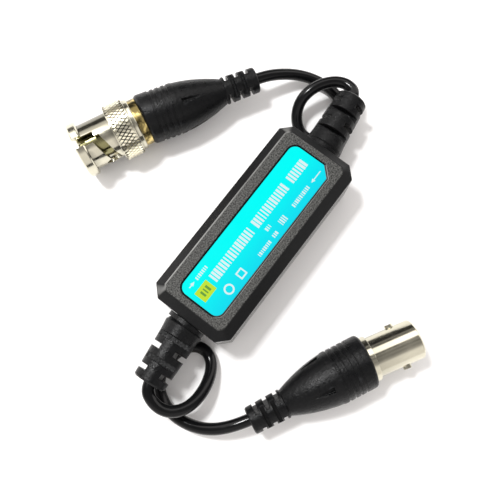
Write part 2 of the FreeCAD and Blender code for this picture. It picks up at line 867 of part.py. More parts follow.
def make_boot(name, place, heading, boot_heading, roll, points):
    """The boot: a band and four fine rings behind the connector, a bulging taper with four wedge shaped
    recesses, and a slotted tail. It is bent a few degrees from the connector's own axis."""
    moulding = turned(
        name + "_boot_moulding",
        [
            ("-boot_overlap", "0"),
            ("-boot_overlap", "boot_across / 2"),
            ("boot_shoulder", "boot_across / 2"),
            ("boot_shoulder + boot_edge", "boot_shoulder_across / 2"),
            ("boot_length", "boot_neck / 2"),
            ("boot_length + boot_edge", "boot_tail_front / 2"),
            ("boot_length + boot_tail_length - boot_edge", "boot_tail_end / 2"),
            ("boot_length + boot_tail_length", "boot_tail_end / 2 - boot_edge"),
            ("boot_length + boot_tail_length", "0"),
        ],
        {3: "boot_bulge"},
    )
    ring = new_sketch(moulding, name + "_boot_ring", "XY_Plane")
    depth = "boot_across / 2 - ring_depth"
    box_outline(ring, "boot_band", "boot_band + ring_groove", depth, "boot_across / 2 + weld")
    rings = groove(moulding, ring)
    along(moulding, [rings], "ring_pitch * (boot_rings - 1)", "boot_rings")
    wedge = new_sketch(moulding, name + "_boot_wedge", "XY_Plane", "boot_across / 2")
    outline(
        wedge,
        [
            ("wedge_start", "-wedge_width / 2"),
            ("wedge_start + wedge_length", "-wedge_point / 2"),
            ("wedge_start + wedge_length", "wedge_point / 2"),
            ("wedge_start", "wedge_width / 2"),
        ],
    )
    recess = pocket(moulding, wedge, "wedge_depth + (boot_across - boot_shoulder_across) / 2")
    around(moulding, [recess], "boot_wedges")
    for level, plane in enumerate(("XY_Plane", "XZ_Plane", "XY_Plane", "XZ_Plane", "XY_Plane")):
        sketch = new_sketch(moulding, f"{name}_boot_level_{level}", plane)
        near = f"(boot_length + tail_start + {level} * tail_pitch)"
        for sign in ("", "-"):
            reach = f"{sign}(boot_tail_front / 2 + tail_slot)"
            box_outline(sketch, near, f"{near} + tail_slot", f"{sign}tail_web / 2", reach)
        pocket(moulding, sketch, both_ways=True)
    moulding.Placement = frame(place, boot_heading, roll)
    side = 2 * size("boot_across")
    front = doc.addObject("Part::Box", name + "_boot_front")
    front.Length = side
    front.Width = side
    front.Height = side
    corner = FreeCAD.Placement(FreeCAD.Vector(-side, -side / 2, -side / 2), FreeCAD.Rotation())
    front.Placement = frame(place, heading).multiply(corner)
    cavity = boot_cavity(name)
    cavity.Placement = frame(place, heading)
    trimmed = cut(f"{name}_boot_trimmed", moulding, front)
    home = frame(place, heading).inverse()

    def at_front(edge, middle):
        return all(abs(home.multVec(point).x) < 1e-4 for point in (middle, edge.valueAt(edge.FirstParameter)))

    rim = rounded(f"{name}_boot_rimmed", trimmed, at_front, size("boot_front_round"))
    bore, _, _ = tube(points[-5:], BORE)
    return keep(cut(f"{name}_boot", rim, cavity, shaped(f"{name}_boot_bore", bore)))


def boot_cavity(name):
    """The space that the connector's rear and its crimp sleeve fill inside the boot."""
    sleeve = "crimp_across / 2 + sleeve_gap + sleeve_wall + fit / 2"
    return turned(
        name + "_boot_cavity",
        [
            ("-boot_across", "0"),
            ("-boot_across", "spigot_across / 2 + fit / 2"),
            ("spigot_length + fit / 2", "spigot_across / 2 + fit / 2"),
            ("spigot_length + fit / 2", sleeve),
            ("crimp_end + fit / 2", sleeve),
            ("crimp_end + fit / 2", "0"),
        ],
    )


def rear_profile(front, front_radius):
    """The corners of a metal body's rear, from its front shoulder to the end of its crimp barrel."""
    return [
        (front, front_radius),
        ("0", front_radius),
        ("0", "spigot_across / 2"),
        ("spigot_length", "spigot_across / 2"),
        ("spigot_length", "crimp_across / 2"),
        ("crimp_end", "crimp_across / 2"),
        ("crimp_end", "crimp_bore / 2"),
        ("spigot_length - back_wall", "crimp_bore / 2"),
        ("spigot_length - back_wall", "dielectric_small / 2 + fit / 4"),
    ]


def make_crimp_sleeve(name, home):
    body = turned(
        f"{name}_crimp_sleeve",
        [
            ("spigot_length + fit", "crimp_across / 2 + sleeve_gap"),
            ("spigot_length + fit", "crimp_across / 2 + sleeve_gap + sleeve_wall"),
            ("crimp_end", "crimp_across / 2 + sleeve_gap + sleeve_wall"),
            ("crimp_end", "crimp_across / 2 + sleeve_gap"),
        ],
    )
    body.Placement = home
    return keep(body)


def nut(place):
    """A place along the plug's axis, given from the collar's front rim, in the plug's own frame."""
    return f"({place} - nut_length - neck_show)"


def make_plug(home):
    """The plug's metal parts. The collar turns on the spindle between the snap ring and the neck."""
    shoulder = nut("flange_front + flange_thick + axial_play")
    body = turned(
        "plug_body",
        [
            (nut("spindle_front"), "sleeve_spigot / 2 + fit / 4"),
            (nut("spindle_front"), "spindle_across / 2"),
            (nut("snap_place"), "spindle_across / 2"),
            (nut("snap_place"), "spindle_across / 2 - snap_depth"),
            (nut("snap_place + snap_thick"), "spindle_across / 2 - snap_depth"),
            (nut("snap_place + snap_thick"), "spindle_across / 2"),
            (shoulder, "spindle_across / 2"),
            *rear_profile(shoulder, "neck_across / 2"),
            (nut("spindle_front + sleeve_spigot_length + fit / 2"), "dielectric_small / 2 + fit / 4"),
            (nut("spindle_front + sleeve_spigot_length + fit / 2"), "sleeve_spigot / 2 + fit / 4"),
        ],
    )
    body.Placement = home
    keep(body)

    sleeve = turned(
        "plug_outer_contact",
        [
            (nut("sleeve_front"), "sleeve_bore / 2 + sleeve_edge"),
            (nut("sleeve_front"), "contact_across / 2 - sleeve_edge"),
            (nut("sleeve_front + 2 * sleeve_edge"), "contact_across / 2"),
            (nut("spindle_front"), "contact_across / 2"),
            (nut("spindle_front"), "sleeve_spigot / 2"),
            (nut("spindle_front + sleeve_spigot_length"), "sleeve_spigot / 2"),
            (nut("spindle_front + sleeve_spigot_length"), "sleeve_spigot / 2 - sleeve_lining"),
            (nut("dielectric_front"), "sleeve_spigot / 2 - sleeve_lining"),
            (nut("dielectric_front"), "sleeve_bore / 2"),
            (nut("sleeve_front + sleeve_edge"), "sleeve_bore / 2"),
        ],
    )
    slot = new_sketch(sleeve, "contact_slot", "XY_Plane")
    box_outline(
        slot,
        nut("sleeve_front - sleeve_slot"),
        nut("sleeve_front + sleeve_slot_length"),
        "-sleeve_slot / 2",
        "sleeve_slot / 2",
    )
    around(sleeve, [pocket(sleeve, slot, "contact_across", reversed_way=True)], "sleeve_slots")
    sleeve.Placement = home
    keep(sleeve)

    insulator = turned(
        "plug_insulator",
        [
            (nut("dielectric_front"), "pin_seat / 2 + fit / 4"),
            (nut("dielectric_front"), "sleeve_spigot / 2 - sleeve_lining - fit / 4"),
            (nut("spindle_front + sleeve_spigot_length"), "sleeve_spigot / 2 - sleeve_lining - fit / 4"),
            (nut("spindle_front + sleeve_spigot_length"), "dielectric_small / 2"),
            ("spigot_length - back_wall - fit", "dielectric_small / 2"),
            ("spigot_length - back_wall - fit", "pin_shank / 2 + fit / 4"),
            (nut("dielectric_front + pin_step"), "pin_shank / 2 + fit / 4"),
            (nut("dielectric_front + pin_step"), "pin_seat / 2 + fit / 4"),
        ],
    )
    insulator.Placement = home
    keep(insulator)

    pin = turned(
        "plug_centre_pin",
        [
            (nut("pin_front"), "0"),
            (nut("pin_front"), "pin_across / 2 - pin_point"),
            (nut("pin_front + pin_taper"), "pin_across / 2"),
            (nut("dielectric_front"), "pin_across / 2"),
            (nut("dielectric_front"), "pin_seat / 2"),
            (nut("dielectric_front + pin_step + fit / 2"), "pin_seat / 2"),
            (nut("dielectric_front + pin_step + fit / 2"), "pin_shank / 2"),
            ("spigot_length - back_wall - fit - wire_gap", "pin_shank / 2"),
            ("spigot_length - back_wall - fit - wire_gap", "0"),
        ],
    )
    pin.Placement = home
    keep(pin)

    snap = turned(
        "snap_ring",
        [
            (nut("snap_place + axial_play"), "spindle_across / 2 - snap_depth + snap_seat"),
            (nut("snap_place + axial_play"), "snap_across / 2"),
            (nut("snap_place + snap_thick - axial_play"), "snap_across / 2"),
            (nut("snap_place + snap_thick - axial_play"), "spindle_across / 2 - snap_depth + snap_seat"),
        ],
    )
    mouth = new_sketch(snap, "snap_mouth", "XY_Plane")
    box_outline(mouth, nut("snap_place"), nut("snap_place + snap_thick"), "-snap_mouth / 2", "snap_mouth / 2")
    pocket(snap, mouth, "snap_across")
    snap.Placement = home
    keep(snap)

    washer = turned(
        "flat_washer",
        [
            (nut("flange_front - axial_play - washer_thick"), "spindle_across / 2 + fit / 2"),
            (nut("flange_front - axial_play - washer_thick"), "snap_across / 2"),
            (nut("flange_front - axial_play"), "snap_across / 2"),
            (nut("flange_front - axial_play"), "spindle_across / 2 + fit / 2"),
        ],
    )
    washer.Placement = home
    keep(washer)

    make_wave_washer(home)

    gasket = turned(
        "gasket",
        [
            (nut("snap_place - gasket_thick"), "spindle_across / 2 + fit / 2"),
            (nut("snap_place - gasket_thick"), "gasket_across / 2"),
            (nut("snap_place"), "gasket_across / 2"),
            (nut("snap_place"), "spindle_across / 2 + fit / 2"),
        ],
    )
    gasket.Placement = home
    keep(gasket)
    make_collar(frame(PLUG_PLACE, size("plug_heading"), size("nut_roll")))
    make_crimp_sleeve("plug", home)


def make_wave_washer(home):
    """The sprung washer between the snap ring and the flat washer: a flat ring bent into waves."""
    inner = size("spindle_across / 2 + fit / 2")
    outer = size("snap_across / 2")
    thick = size("wave_thick")
    near = size(nut("snap_place + snap_thick + axial_play"))
    swing = (size(nut("flange_front - washer_thick - 2 * axial_play")) - near - thick) / 2
    waves = int(size("wave_count"))
    points_round = 8 * waves
    faces = []
    rings = []
    for radius in (inner, outer):
        for shift in (0.0, thick):
            points = []
            for number in range(points_round):
                turn = 2 * math.pi * number / points_round
                x = near + shift + swing * (1 + math.cos(waves * turn))
                points.append(FreeCAD.Vector(x, radius * math.cos(turn), radius * math.sin(turn)))
            curve = Part.BSplineCurve()
            curve.interpolate(points, PeriodicFlag=True)
            rings.append(Part.Wire(curve.toShape()))
    front_inner, back_inner, front_outer, back_outer = rings
    for one, other in (
        (front_inner, front_outer),
        (back_inner, back_outer),
        (front_inner, back_inner),
        (front_outer, back_outer),
    ):
        faces.extend(Part.makeRuledSurface(one.Edges[0], other.Edges[0]).Faces)
    shell = Part.Shell(faces)
    shell.sewShape()
    piece = shaped("wave_washer", Part.Solid(shell))
    piece.Placement = home
    return keep(piece)


def make_collar(home):
    """The coupling collar. Each of its two bayonet tracks is an open entry from the front rim, a helical
    ramp that a jack's lug climbs as the collar turns, and a round hole that the lug drops into."""
    knurl_end = "rim_length + waist_length + knurl_length"
    body = turned(
        "coupling_collar",
        [
            (nut("0"), "nut_bore / 2 + nut_edge"),
            (nut("0"), "rim_across / 2 - nut_edge"),
            (nut("nut_edge"), "rim_across / 2"),
            (nut("rim_length - nut_edge"), "rim_across / 2"),
            (nut("rim_length"), "rim_across / 2 - nut_edge"),
            (nut("rim_length"), "waist_across / 2"),
            (nut("rim_length + waist_length"), "waist_across / 2"),
            (nut("rim_length + waist_length"), "knurl_across / 2 - nut_edge"),
            (nut("rim_length + waist_length + nut_edge"), "knurl_across / 2"),
            (nut(f"{knurl_end} - nut_edge"), "knurl_across / 2"),
            (nut(knurl_end), "knurl_across / 2 - nut_edge"),
            (nut(knurl_end), "neck_across / 2 + neck_gap + rear_wall"),
            (nut("nut_length - rear_wall / 2"), "neck_across / 2 + neck_gap + rear_wall"),
            (nut("nut_length"), "neck_across / 2 + neck_gap + rear_wall / 2"),
            (nut("nut_length"), "neck_across / 2 + neck_gap"),
            (nut("flange_front + flange_thick"), "neck_across / 2 + neck_gap"),
            (nut("flange_front + flange_thick"), "flange_bore / 2"),
            (nut("flange_front"), "flange_bore / 2"),
            (nut("flange_front"), "nut_bore / 2"),
            (nut("nut_edge"), "nut_bore / 2"),
        ],
    )
    entry = new_sketch(body, "track_entry", "XY_Plane")
    box_outline(entry, nut("-track_width"), nut("track_entry"), "-track_width / 2", "track_width / 2")
    entry_cut = pocket(body, entry, "rim_across", reversed_way=True)
    ramp = new_sketch(body, "track_ramp", "XZ_Plane")
    near_wall = "nut_bore / 2 - nut_edge"
    far_wall = "waist_across / 2 + nut_edge"
    box_outline(ramp, nut("ramp_start"), nut("ramp_start + track_width"), near_wall, far_wall)
    doc.recompute()
    before = body.Shape.Volume
    ramp_cut = body.newObject("PartDesign::SubtractiveHelix", "track_ramp_cut")
    ramp_cut.Profile = ramp
    ramp_cut.ReferenceAxis = (ramp, ["H_Axis"])
    ramp_cut.Mode = "pitch-height-angle"
    ramp_cut.setExpression("Pitch", full("ramp_pitch"))
    ramp_cut.setExpression("Height", full("ramp_rise"))
    doc.recompute()
    if body.Shape.Volume > before - 1e-3:
        raise RuntimeError("the bayonet ramp cuts nothing")
    detent = new_sketch(body, "track_detent", "XZ_Plane")
    circle(detent, nut("detent_place"), "0", "detent_across")
    detent_cut = pocket(body, detent, "rim_across")
    around(body, [entry_cut, ramp_cut, detent_cut], "2")
    body.Placement = home
    return keep(body)


def make_jack(home):
    """The jack's metal barrel with its two bayonet lugs, its insulator and its socket contact."""
    front = "(-(barrel_length + jack_flange_thick))"
    shoulder = "(-jack_flange_thick)"
    body = turned(
        "jack_body",
        [
            (front, "jack_bore / 2 + jack_edge / 2"),
            (front, "barrel_across / 2 - jack_edge"),
            (f"{front} + jack_edge", "barrel_across / 2"),
            (shoulder, "barrel_across / 2"),
            *rear_profile(shoulder, "jack_flange_across / 2"),
            (f"{front} + jack_bore_depth", "dielectric_small / 2 + fit / 4"),
            (f"{front} + jack_bore_depth", "jack_bore / 2"),
            (f"{front} + jack_edge / 2", "jack_bore / 2"),
        ],
    )
    lug = new_sketch(body, "lug", "XZ_Plane")
    circle(lug, f"{front} + lug_place", "0", "lug_across")
    pad(body, lug, "lug_tips", both_ways=True)
    doc.recompute()
    room = new_sketch(body, "lug_room", "YZ_Plane", f"{front} + lug_place")
    circle(room, "0", "0", "jack_bore")
    pocket(body, room, "2 * lug_across", both_ways=True)
    body.Placement = home
    keep(body)

    insulator = turned(
        "jack_insulator",
        [
            (f"{front} + jack_nose_set_back", "jack_contact_across / 2 + fit / 4"),
            (f"{front} + jack_nose_set_back", "jack_nose_across / 2 - jack_edge / 2"),
            (f"{front} + jack_nose_set_back + jack_edge", "jack_nose_across / 2"),
            (f"{front} + jack_bore_depth - jack_web", "jack_nose_across / 2"),
            (f"{front} + jack_bore_depth - jack_web", "jack_bore / 2 - fit / 4"),
            (f"{front} + jack_bore_depth - fit / 2", "jack_bore / 2 - fit / 4"),
            (f"{front} + jack_bore_depth - fit / 2", "dielectric_small / 2"),
            ("spigot_length - back_wall - fit", "dielectric_small / 2"),
            ("spigot_length - back_wall - fit", "jack_contact_across / 2 + fit / 4"),
        ],
    )
    insulator.Placement = home
    keep(insulator)

    contact = turned(
        "jack_centre_contact",
        [
            (f"{front} + jack_contact_set_back", "jack_contact_bore / 2"),
            (f"{front} + jack_contact_set_back", "jack_contact_across / 2"),
            ("spigot_length - back_wall - fit - wire_gap", "jack_contact_across / 2"),
            ("spigot_length - back_wall - fit - wire_gap", "0"),
            (f"{front} + jack_contact_set_back + jack_contact_depth", "0"),
            (f"{front} + jack_contact_set_back + jack_contact_depth", "jack_contact_bore / 2"),
        ],
    )
    split = new_sketch(contact, "contact_split", "XY_Plane")
    box_outline(
        split,
        front,
        f"{front} + jack_contact_set_back + jack_contact_split",
        "-jack_contact_slot / 2",
        "jack_contact_slot / 2",
    )
    pocket(contact, split, both_ways=True)
    contact.Placement = home
    keep(contact)
    make_crimp_sleeve("jack", home)


def on_axis(place, heading, distance):
    """The point at a distance along a connector's axis from its boot's front."""
    turn = math.radians(heading)
    return (place[0] + distance * math.cos(turn), place[1] + distance * math.sin(turn), place[2])


def make_lead(name, points):
    solid, length, radii = tube(points, CABLE)
    print(name, "length", round(length, 1), "radii", [round(radius, 1) for radius in radii])
    return keep(shaped(f"lead_{name}", solid))


def make_core_wire(name, home):
    """The cable's inner conductor in its insulation, from the cable's end to the contact."""
    body = turned(
        f"{name}_core_wire",
        [
            ("spigot_length - back_wall - fit", "0"),
            ("spigot_length - back_wall - fit", "cable_inner / 2"),
            ("crimp_end", "cable_inner / 2"),
            ("crimp_end", "0"),
        ],
    )
    body.Placement = home
    return keep(body)


def finish_route(points, place, heading):
    """The route with its last two points on the connector's own axis, at the crimp barrel."""
    end = size("crimp_end")
    straight = size("cable_straight")
    return points + [on_axis(place, heading, end + straight), on_axis(place, heading, end)]


PLUG_WAY = size("plug_heading")
JACK_WAY = size("jack_heading")
PLUG_ROUTE = finish_route(PLUG_LEAD, PLUG_PLACE, PLUG_WAY)
JACK_ROUTE = finish_route(JACK_LEAD, JACK_PLACE, JACK_WAY)

make_upper_shell()
make_lower_shell()
make_label()
make_board()
make_core()
make_winding("input_winding", 90.0)
make_winding("output_winding", 270.0)
make_capacitor("input_capacitor", 1)
make_capacitor("output_capacitor", -1)
make_chips()
make_solder_wires("plug", 1, PLUG_LEAD[0][0])
make_solder_wires("jack", -1, JACK_LEAD[0][0])
make_relief("plug", 1, size("plug_relief_bend"))
make_relief("jack", -1, -size("jack_relief_bend"))
make_lead("plug", PLUG_ROUTE)
make_lead("jack", JACK_ROUTE)
make_plug(PLUG_FRAME)
make_core_wire("plug", PLUG_FRAME)
make_boot("plug", PLUG_PLACE, PLUG_WAY, size("plug_boot_heading"), size("plug_boot_roll"), PLUG_ROUTE)
make_jack(JACK_FRAME)
make_core_wire("jack", JACK_FRAME)
make_boot("jack", JACK_PLACE, JACK_WAY, size("jack_boot_heading"), size("jack_boot_roll"), JACK_ROUTE)

doc.recompute()
for item in doc.Objects:
    if "Invalid" in item.State or "Error" in item.State:
        raise RuntimeError(f"{item.Label} is {item.State}")
for piece in ALL_NODES:
    if piece.Shape.isNull() or not piece.Shape.isValid():
        raise RuntimeError(f"{piece.Label} has no valid shape")

os.makedirs("parts", exist_ok=True)
for piece in ALL_NODES:
    piece.Shape.exportStep(f"parts/{piece.Label}.step")
print(len(ALL_NODES), "pieces")
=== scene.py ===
"""The looks of a video ground loop isolator: dressed pieces, printed overlay, leads and a plain studio."""

import json
import math

import bmesh
import bpy
from bpy.props import FloatProperty, FloatVectorProperty, IntProperty, PointerProperty
from mathutils import Matrix, Vector


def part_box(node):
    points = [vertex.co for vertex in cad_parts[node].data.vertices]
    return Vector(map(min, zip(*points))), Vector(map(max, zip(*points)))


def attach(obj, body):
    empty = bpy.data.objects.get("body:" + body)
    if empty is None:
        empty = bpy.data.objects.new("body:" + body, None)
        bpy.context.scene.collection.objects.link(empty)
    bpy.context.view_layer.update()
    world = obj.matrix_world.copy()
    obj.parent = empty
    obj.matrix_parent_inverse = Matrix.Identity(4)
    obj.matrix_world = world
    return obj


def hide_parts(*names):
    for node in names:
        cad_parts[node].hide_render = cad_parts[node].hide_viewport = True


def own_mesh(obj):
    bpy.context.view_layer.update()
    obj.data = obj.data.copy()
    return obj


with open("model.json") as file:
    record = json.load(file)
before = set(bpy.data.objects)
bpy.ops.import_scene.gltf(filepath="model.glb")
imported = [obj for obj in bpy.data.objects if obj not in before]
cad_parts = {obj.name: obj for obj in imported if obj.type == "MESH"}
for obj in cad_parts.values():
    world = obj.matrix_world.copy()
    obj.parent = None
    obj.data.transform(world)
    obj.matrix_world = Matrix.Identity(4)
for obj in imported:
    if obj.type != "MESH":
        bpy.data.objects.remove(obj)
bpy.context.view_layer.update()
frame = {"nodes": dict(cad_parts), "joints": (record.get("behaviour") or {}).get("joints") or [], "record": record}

bl_info = {
    "name": "Video ground loop isolator",
    "version": (1, 0, 0),
    "blender": (4, 5, 0),
    "location": "3D Viewport > Sidebar > Isolator",
    "description": "Dresses the box, leads and connectors of an in-line video isolator",
    "category": "Object",
}

MM = 0.001
JOINTS = {joint["name"]: joint for joint in frame["joints"]}
MOUNTS = {mount["name"]: mount for mount in frame["record"]["mounts"]}
TURN = JOINTS["collar_turn"]

# The bodies that the pieces ride on
STILL = "isolator"
WASHER = "collar_washer"
COLLAR = "collar"

# How bright the room looks in mirrored rays, from the viewer's side over the ceiling to the far side
MIRRORED_ROOM = [
    (0.0, 1.0), (1.0, 0.03), (0.2, 1.1), (0.26, 0.5), (0.36, 0.27), (0.44, 0.36), (0.5, 0.17),
    (0.55, 0.36), (0.6, 0.3), (0.63, 0.08), (0.65, 0.08), (0.69, 2.3), (0.86, 2.3), (0.885, 0.14),
    (0.92, 0.1), (0.94, 0.4), (0.96, 0.04),
]
# The level direction in which that room changes, and the tint of the even light
FAR_SIDE = (0.7958, 0.6056, 0)
ROOM_TINT = (1, 0.963, 0.942, 1)

# The photograph's view: the camera's place in millimetres, its directions, and its lens and sensor
CAMERA_PLACE = (-25.9, -18.0, 146.1)
CAMERA_RIGHT = (0.6056, -0.7958, 0)
CAMERA_BACK = (-0.1568, -0.1193, 0.9804)
CAMERA_LENS = 42.34
CAMERA_SENSOR = 36

# The main light's place and width, and half the floor's width and its height, in metres
KEY_PLACE = (-0.015, 0.25, 0.55)
KEY_SIZE = 0.09
FLOOR_REACH = 0.7
FLOOR_LEVEL = -0.01 * MM

# How CAD meshes are dressed: which corners are welded and which faces joined, from what angle an edge
# is sharp, and the rounding of small inner pieces
WELD = 0.001 * MM
FLAT_ANGLE = math.radians(0.4)
SHARP_ANGLE = math.radians(32)
THIN_EDGE = 0.03 * MM

# The knurl: where its band starts and ends along the collar, the slack that finds the band's surface,
# the size of a point's top beside its foot, and the depths below which the grooves get painted shade and above
# which the points get the full, lightened colour
KNURL_START = 3.0 * MM
KNURL_END = 8.1 * MM
KNURL_SLACK = 0.05 * MM
KNURL_TOP = 0.74
KNURL_SHADE_DEPTH = 0.12 * MM
KNURL_HIGHLIGHT_DEPTH = 0.04 * MM

# The lid's bevel with a painted highlight on the side towards the key light: a part of the normal, and the values
# where the mask is empty and full
PAINTED_HIGHLIGHT_BEVEL = (("Z", 0.74, 0.82), ("Z", 0.995, 0.93), ("Y", 0.1, 0.3))

# How many turns of wire the windings' finish shows
WIRE_TURNS = 90

# The leads in metres: radius, the height at which they leave the box, and real lengths
LEAD_RADIUS = 1.45 * MM
LEAD_HEIGHT = 0.0075
PLUG_LEAD_LENGTH = 0.1159
JACK_LEAD_LENGTH = 0.1155

# The leads' routes in millimetres, the points of the part's source with a few moved slightly
PLUG_ROUTE = [
    (20.6, 0.0, 7.5), (26.6, 0.0, 7.5), (32.8, 0.66, 7.82), (38.9, 1.33, 8.18), (44.3, 1.91, 8.44),
    (45.35, 5.0, 8.1), (44.35, 7.9, 7.8), (41.95, 10.25, 7.6), (39.05, 11.75, 7.2), (36.0, 12.45, 6.1),
    (33.25, 11.85, 4.3), (31.1, 10.1, 2.5), (29.7, 7.3, 1.5), (30.4, 3.6, 1.45), (33.5, 0.9, 1.45),
    (37.9, 0.5, 1.45), (41.9, 2.4, 1.45), (44.3, 5.9, 1.45), (44.8, 9.9, 1.6), (44.05, 13.85, 2.3),
    (42.15, 17.35, 3.6), (39.15, 20.35, 5.3), (35.65, 22.95, 6.8), (31.5, 25.4, 7.2), (25.65, 29.0, 7.2),
    (18.593, 34.841, 7.2), (15.693, 36.194, 7.2),
]
JACK_ROUTE = [
    (-20.6, 0.0, 7.5), (-26.6, 0.0, 7.5), (-32.8, -0.55, 7.8), (-38.9, -1.2, 8.2), (-44.0, -1.9, 8.42),
    (-45.5, -5.1, 8.1), (-45.35, -8.3, 7.8), (-43.5, -10.9, 7.5), (-40.5, -12.4, 6.6), (-36.7, -12.55, 4.8),
    (-33.0, -11.55, 2.9), (-30.15, -9.65, 1.6), (-28.85, -6.75, 1.45), (-30.0, -3.6, 1.45),
    (-33.4, -1.6, 1.45), (-37.7, -1.0, 1.45), (-41.9, -2.5, 1.45), (-44.6, -5.8, 1.5), (-45.55, -9.8, 1.9),
    (-45.1, -13.9, 2.8), (-43.65, -17.5, 3.9), (-41.25, -20.6, 5.2), (-38.0, -23.2, 6.15),
    (-33.85, -25.7, 6.45), (-27.8, -28.7, 6.45), (-19.409, -32.100, 6.45), (-16.624, -33.676, 6.45),
]
PLUG_PIECES = [
    "plug_body", "plug_outer_contact", "plug_insulator", "plug_centre_pin", "snap_ring", "flat_washer",
    "wave_washer", "gasket", "coupling_collar", "collar_knurl", "plug_crimp_sleeve", "plug_core_wire",
    "plug_boot",
]
JACK_PIECES = [
    "jack_body", "jack_insulator", "jack_centre_contact", "jack_crimp_sleeve", "jack_core_wire",
    "jack_boot",
]

# The rows of plain bars on the overlay: name, left, right, low and high in millimetres, and their size
PRINT_ROWS = [
    ("title_first", -15.5, -0.9, -0.65, 1.85, "title"),
    ("title_second", 0.2, 12.4, -0.6, 1.9, "title"),
    ("title_third", 13.6, 20.0, -0.6, 1.85, "title"),
    ("camera_side", -17.7, -13.6, 3.05, 3.95, "small"),
    ("mains_side", 9.2, 15.2, -4.25, -3.25, "small"),
    ("short_row", -4.9, -0.6, -4.95, -4.05, "small"),
    ("first_mark", 0.9, 2.6, -2.7, -1.7, "small"),
    ("second_mark", 0.6, 2.5, -4.9, -3.95, "small"),
    ("third_mark", 4.1, 6.6, -4.6, -3.0, "small"),
]
BLOCK_ROW = ("block_row", -19.7, -17.2, -0.6, 1.0, "title")
BLOCK_SEED = 3
BLOCK_CORNERS = [(-20.5, -1.4), (-16.4, -1.4), (-16.4, 1.8), (-20.5, 1.8)]

# The plain signs, in millimetres: middle, reach, line width and sides, and for arrows tail, tip and Y
RING = (-14.9, -3.75, 1.25, 0.42, 40)
SQUARE = (-10.4, -3.75, 1.45, 0.5, 4)
ARROWS = ((-20.1, -18.3, 3.5), (20.0, 16.4, -3.75))
ARROW_HEAD = 1.0
ARROW_LINE = 0.12
ARROW_WING = 0.45

# How deep the print reaches into the overlay, and how far the block's print stands on the block
PRINT_SINK = 0.01
BLOCK_RISE = 0.004


def screen(red, green, blue):
    """A colour from 0 to 255 as a screen shows it, turned linear."""
    return tuple(
        channel / 255 / 12.92 if channel <= 10 else ((channel / 255 + 0.055) / 1.055) ** 2.4
        for channel in (red, green, blue)
    )


def size_property(name, description, value):
    return FloatProperty(name=name, description=description, default=value * MM, unit="LENGTH", precision=5)


def colour_property(name, description, value):
    return FloatVectorProperty(
        name=name, description=description, default=value, subtype="COLOR", min=0, max=1
    )


class IsolatorSizes(bpy.types.PropertyGroup):
    shell_edge: size_property("Shell edge", "Rounding of the box's moulded edges", 0.22)
    label_edge: size_property("Overlay edge", "Rounding of the overlay's edge", 0.05)
    rubber_edge: size_property("Rubber edge", "Rounding of slots in boots and strain reliefs", 0.06)
    metal_edge: size_property("Metal edge", "Rounding of turned metal edges", 0.06)
    print_thick: size_property("Print thickness", "How far the print stands on the overlay", 0.012)
    title_pitch: size_property("Title pitch", "Distance between the bars of the large row", 0.86)
    title_bar: size_property("Title bar", "Width of a bar in the large row", 0.52)
    small_pitch: size_property("Small pitch", "Distance between the bars of the small rows", 0.56)
    small_bar: size_property("Small bar", "Width of a bar in the small rows", 0.34)
    knurl_root: size_property("Knurl root", "Radius at the foot of the knurl's points", 6.86)
    knurl_crest: size_property("Knurl crest", "Radius over the knurl's points", 7.2)
    knurl_row: size_property("Knurl row", "Distance between two rows of points along the collar", 0.8)
    knurl_around: IntProperty(name="Knurl count", description="Points in one ring", default=46, min=8)
    knurl_rows: IntProperty(name="Knurl rows", description="Rings along the collar", default=5, min=1)


class IsolatorColours(bpy.types.PropertyGroup):
    housing: colour_property("Housing", "Moulded plastic of the box", (0.0065, 0.0068, 0.0072))
    housing_grain: colour_property("Grained top", "Flecks of the spark eroded top", (0.088, 0.089, 0.085))
    # A painted highlight: pale colour along the lid's bevel on the key light's side
    housing_edge_highlight: colour_property("Edges", "Painted highlight along the lid's bevel", (0.36, 0.36, 0.35))
    overlay: colour_property("Overlay", "Printed film on the lid", (0.0, 0.545, 0.53))
    overlay_deep: colour_property("Overlay shade", "Deeper tone towards one side", (0.005, 0.34, 0.48))
    ink: colour_property("Ink", "Light print on the overlay", (0.42, 0.52, 0.53))
    block: colour_property("Block", "Bright block at the start of the row", (0.31, 0.45, 0.02))
    block_ink: colour_property("Block ink", "Print on the bright block", (0.08, 0.2, 0.03))
    rubber: colour_property("Rubber", "Soft plastic of boots and strain reliefs", (0.003, 0.0032, 0.0035))
    sheath: colour_property("Sheath", "Outer plastic of the leads", (0.003, 0.0031, 0.0034))
    nickel: colour_property("Nickel", "Plating of the connectors", (0.70, 0.67, 0.54))
    neck: colour_property("Neck", "Yellower plating of the plug's spindle", (0.74, 0.58, 0.23))
    contact: colour_property("Contact", "Dull plating of the plug's contact sleeve", (0.30, 0.28, 0.14))


class StageSettings(bpy.types.PropertyGroup):
    key_power: FloatProperty(name="Key", description="Power of the main light", default=3.05, unit="POWER")
    room_light: FloatProperty(name="Room", description="Strength of the room's even light", default=1.05)
    mirrored_room: FloatProperty(name="Mirrored room", description="Brightness in mirrors", default=1.0)
    floor_tone: FloatProperty(name="Floor", description="Paleness of the floor", default=0.86, min=0, max=1)


def sizes():
    return bpy.context.scene.isolator_sizes


def colours():
    return bpy.context.scene.isolator_colours


def shade(colour, share):
    return [share * channel for channel in colour]


def add_node(tree, kind, operation=None, **values):
    """A shader node with its constant inputs, whose labels have _ for a space."""
    node = tree.nodes.new("ShaderNode" + kind)
    if operation:
        node.operation = operation
    for label, value in values.items():
        node.inputs[label.replace("_", " ")].default_value = value
    return node


# Shader groups that several materials share


def new_group(name, inputs, outputs):
    """An empty shader group with its sockets, and its two end nodes."""
    group = bpy.data.node_groups.new(name, "ShaderNodeTree")
    for label, kind, value in inputs:
        socket = group.interface.new_socket(label, in_out="INPUT", socket_type="NodeSocket" + kind)
        socket.default_value = value
    for label, kind in outputs:
        group.interface.new_socket(label, in_out="OUTPUT", socket_type="NodeSocket" + kind)
    start = group.nodes.new("NodeGroupInput")
    end = group.nodes.new("NodeGroupOutput")
    return group, start, end


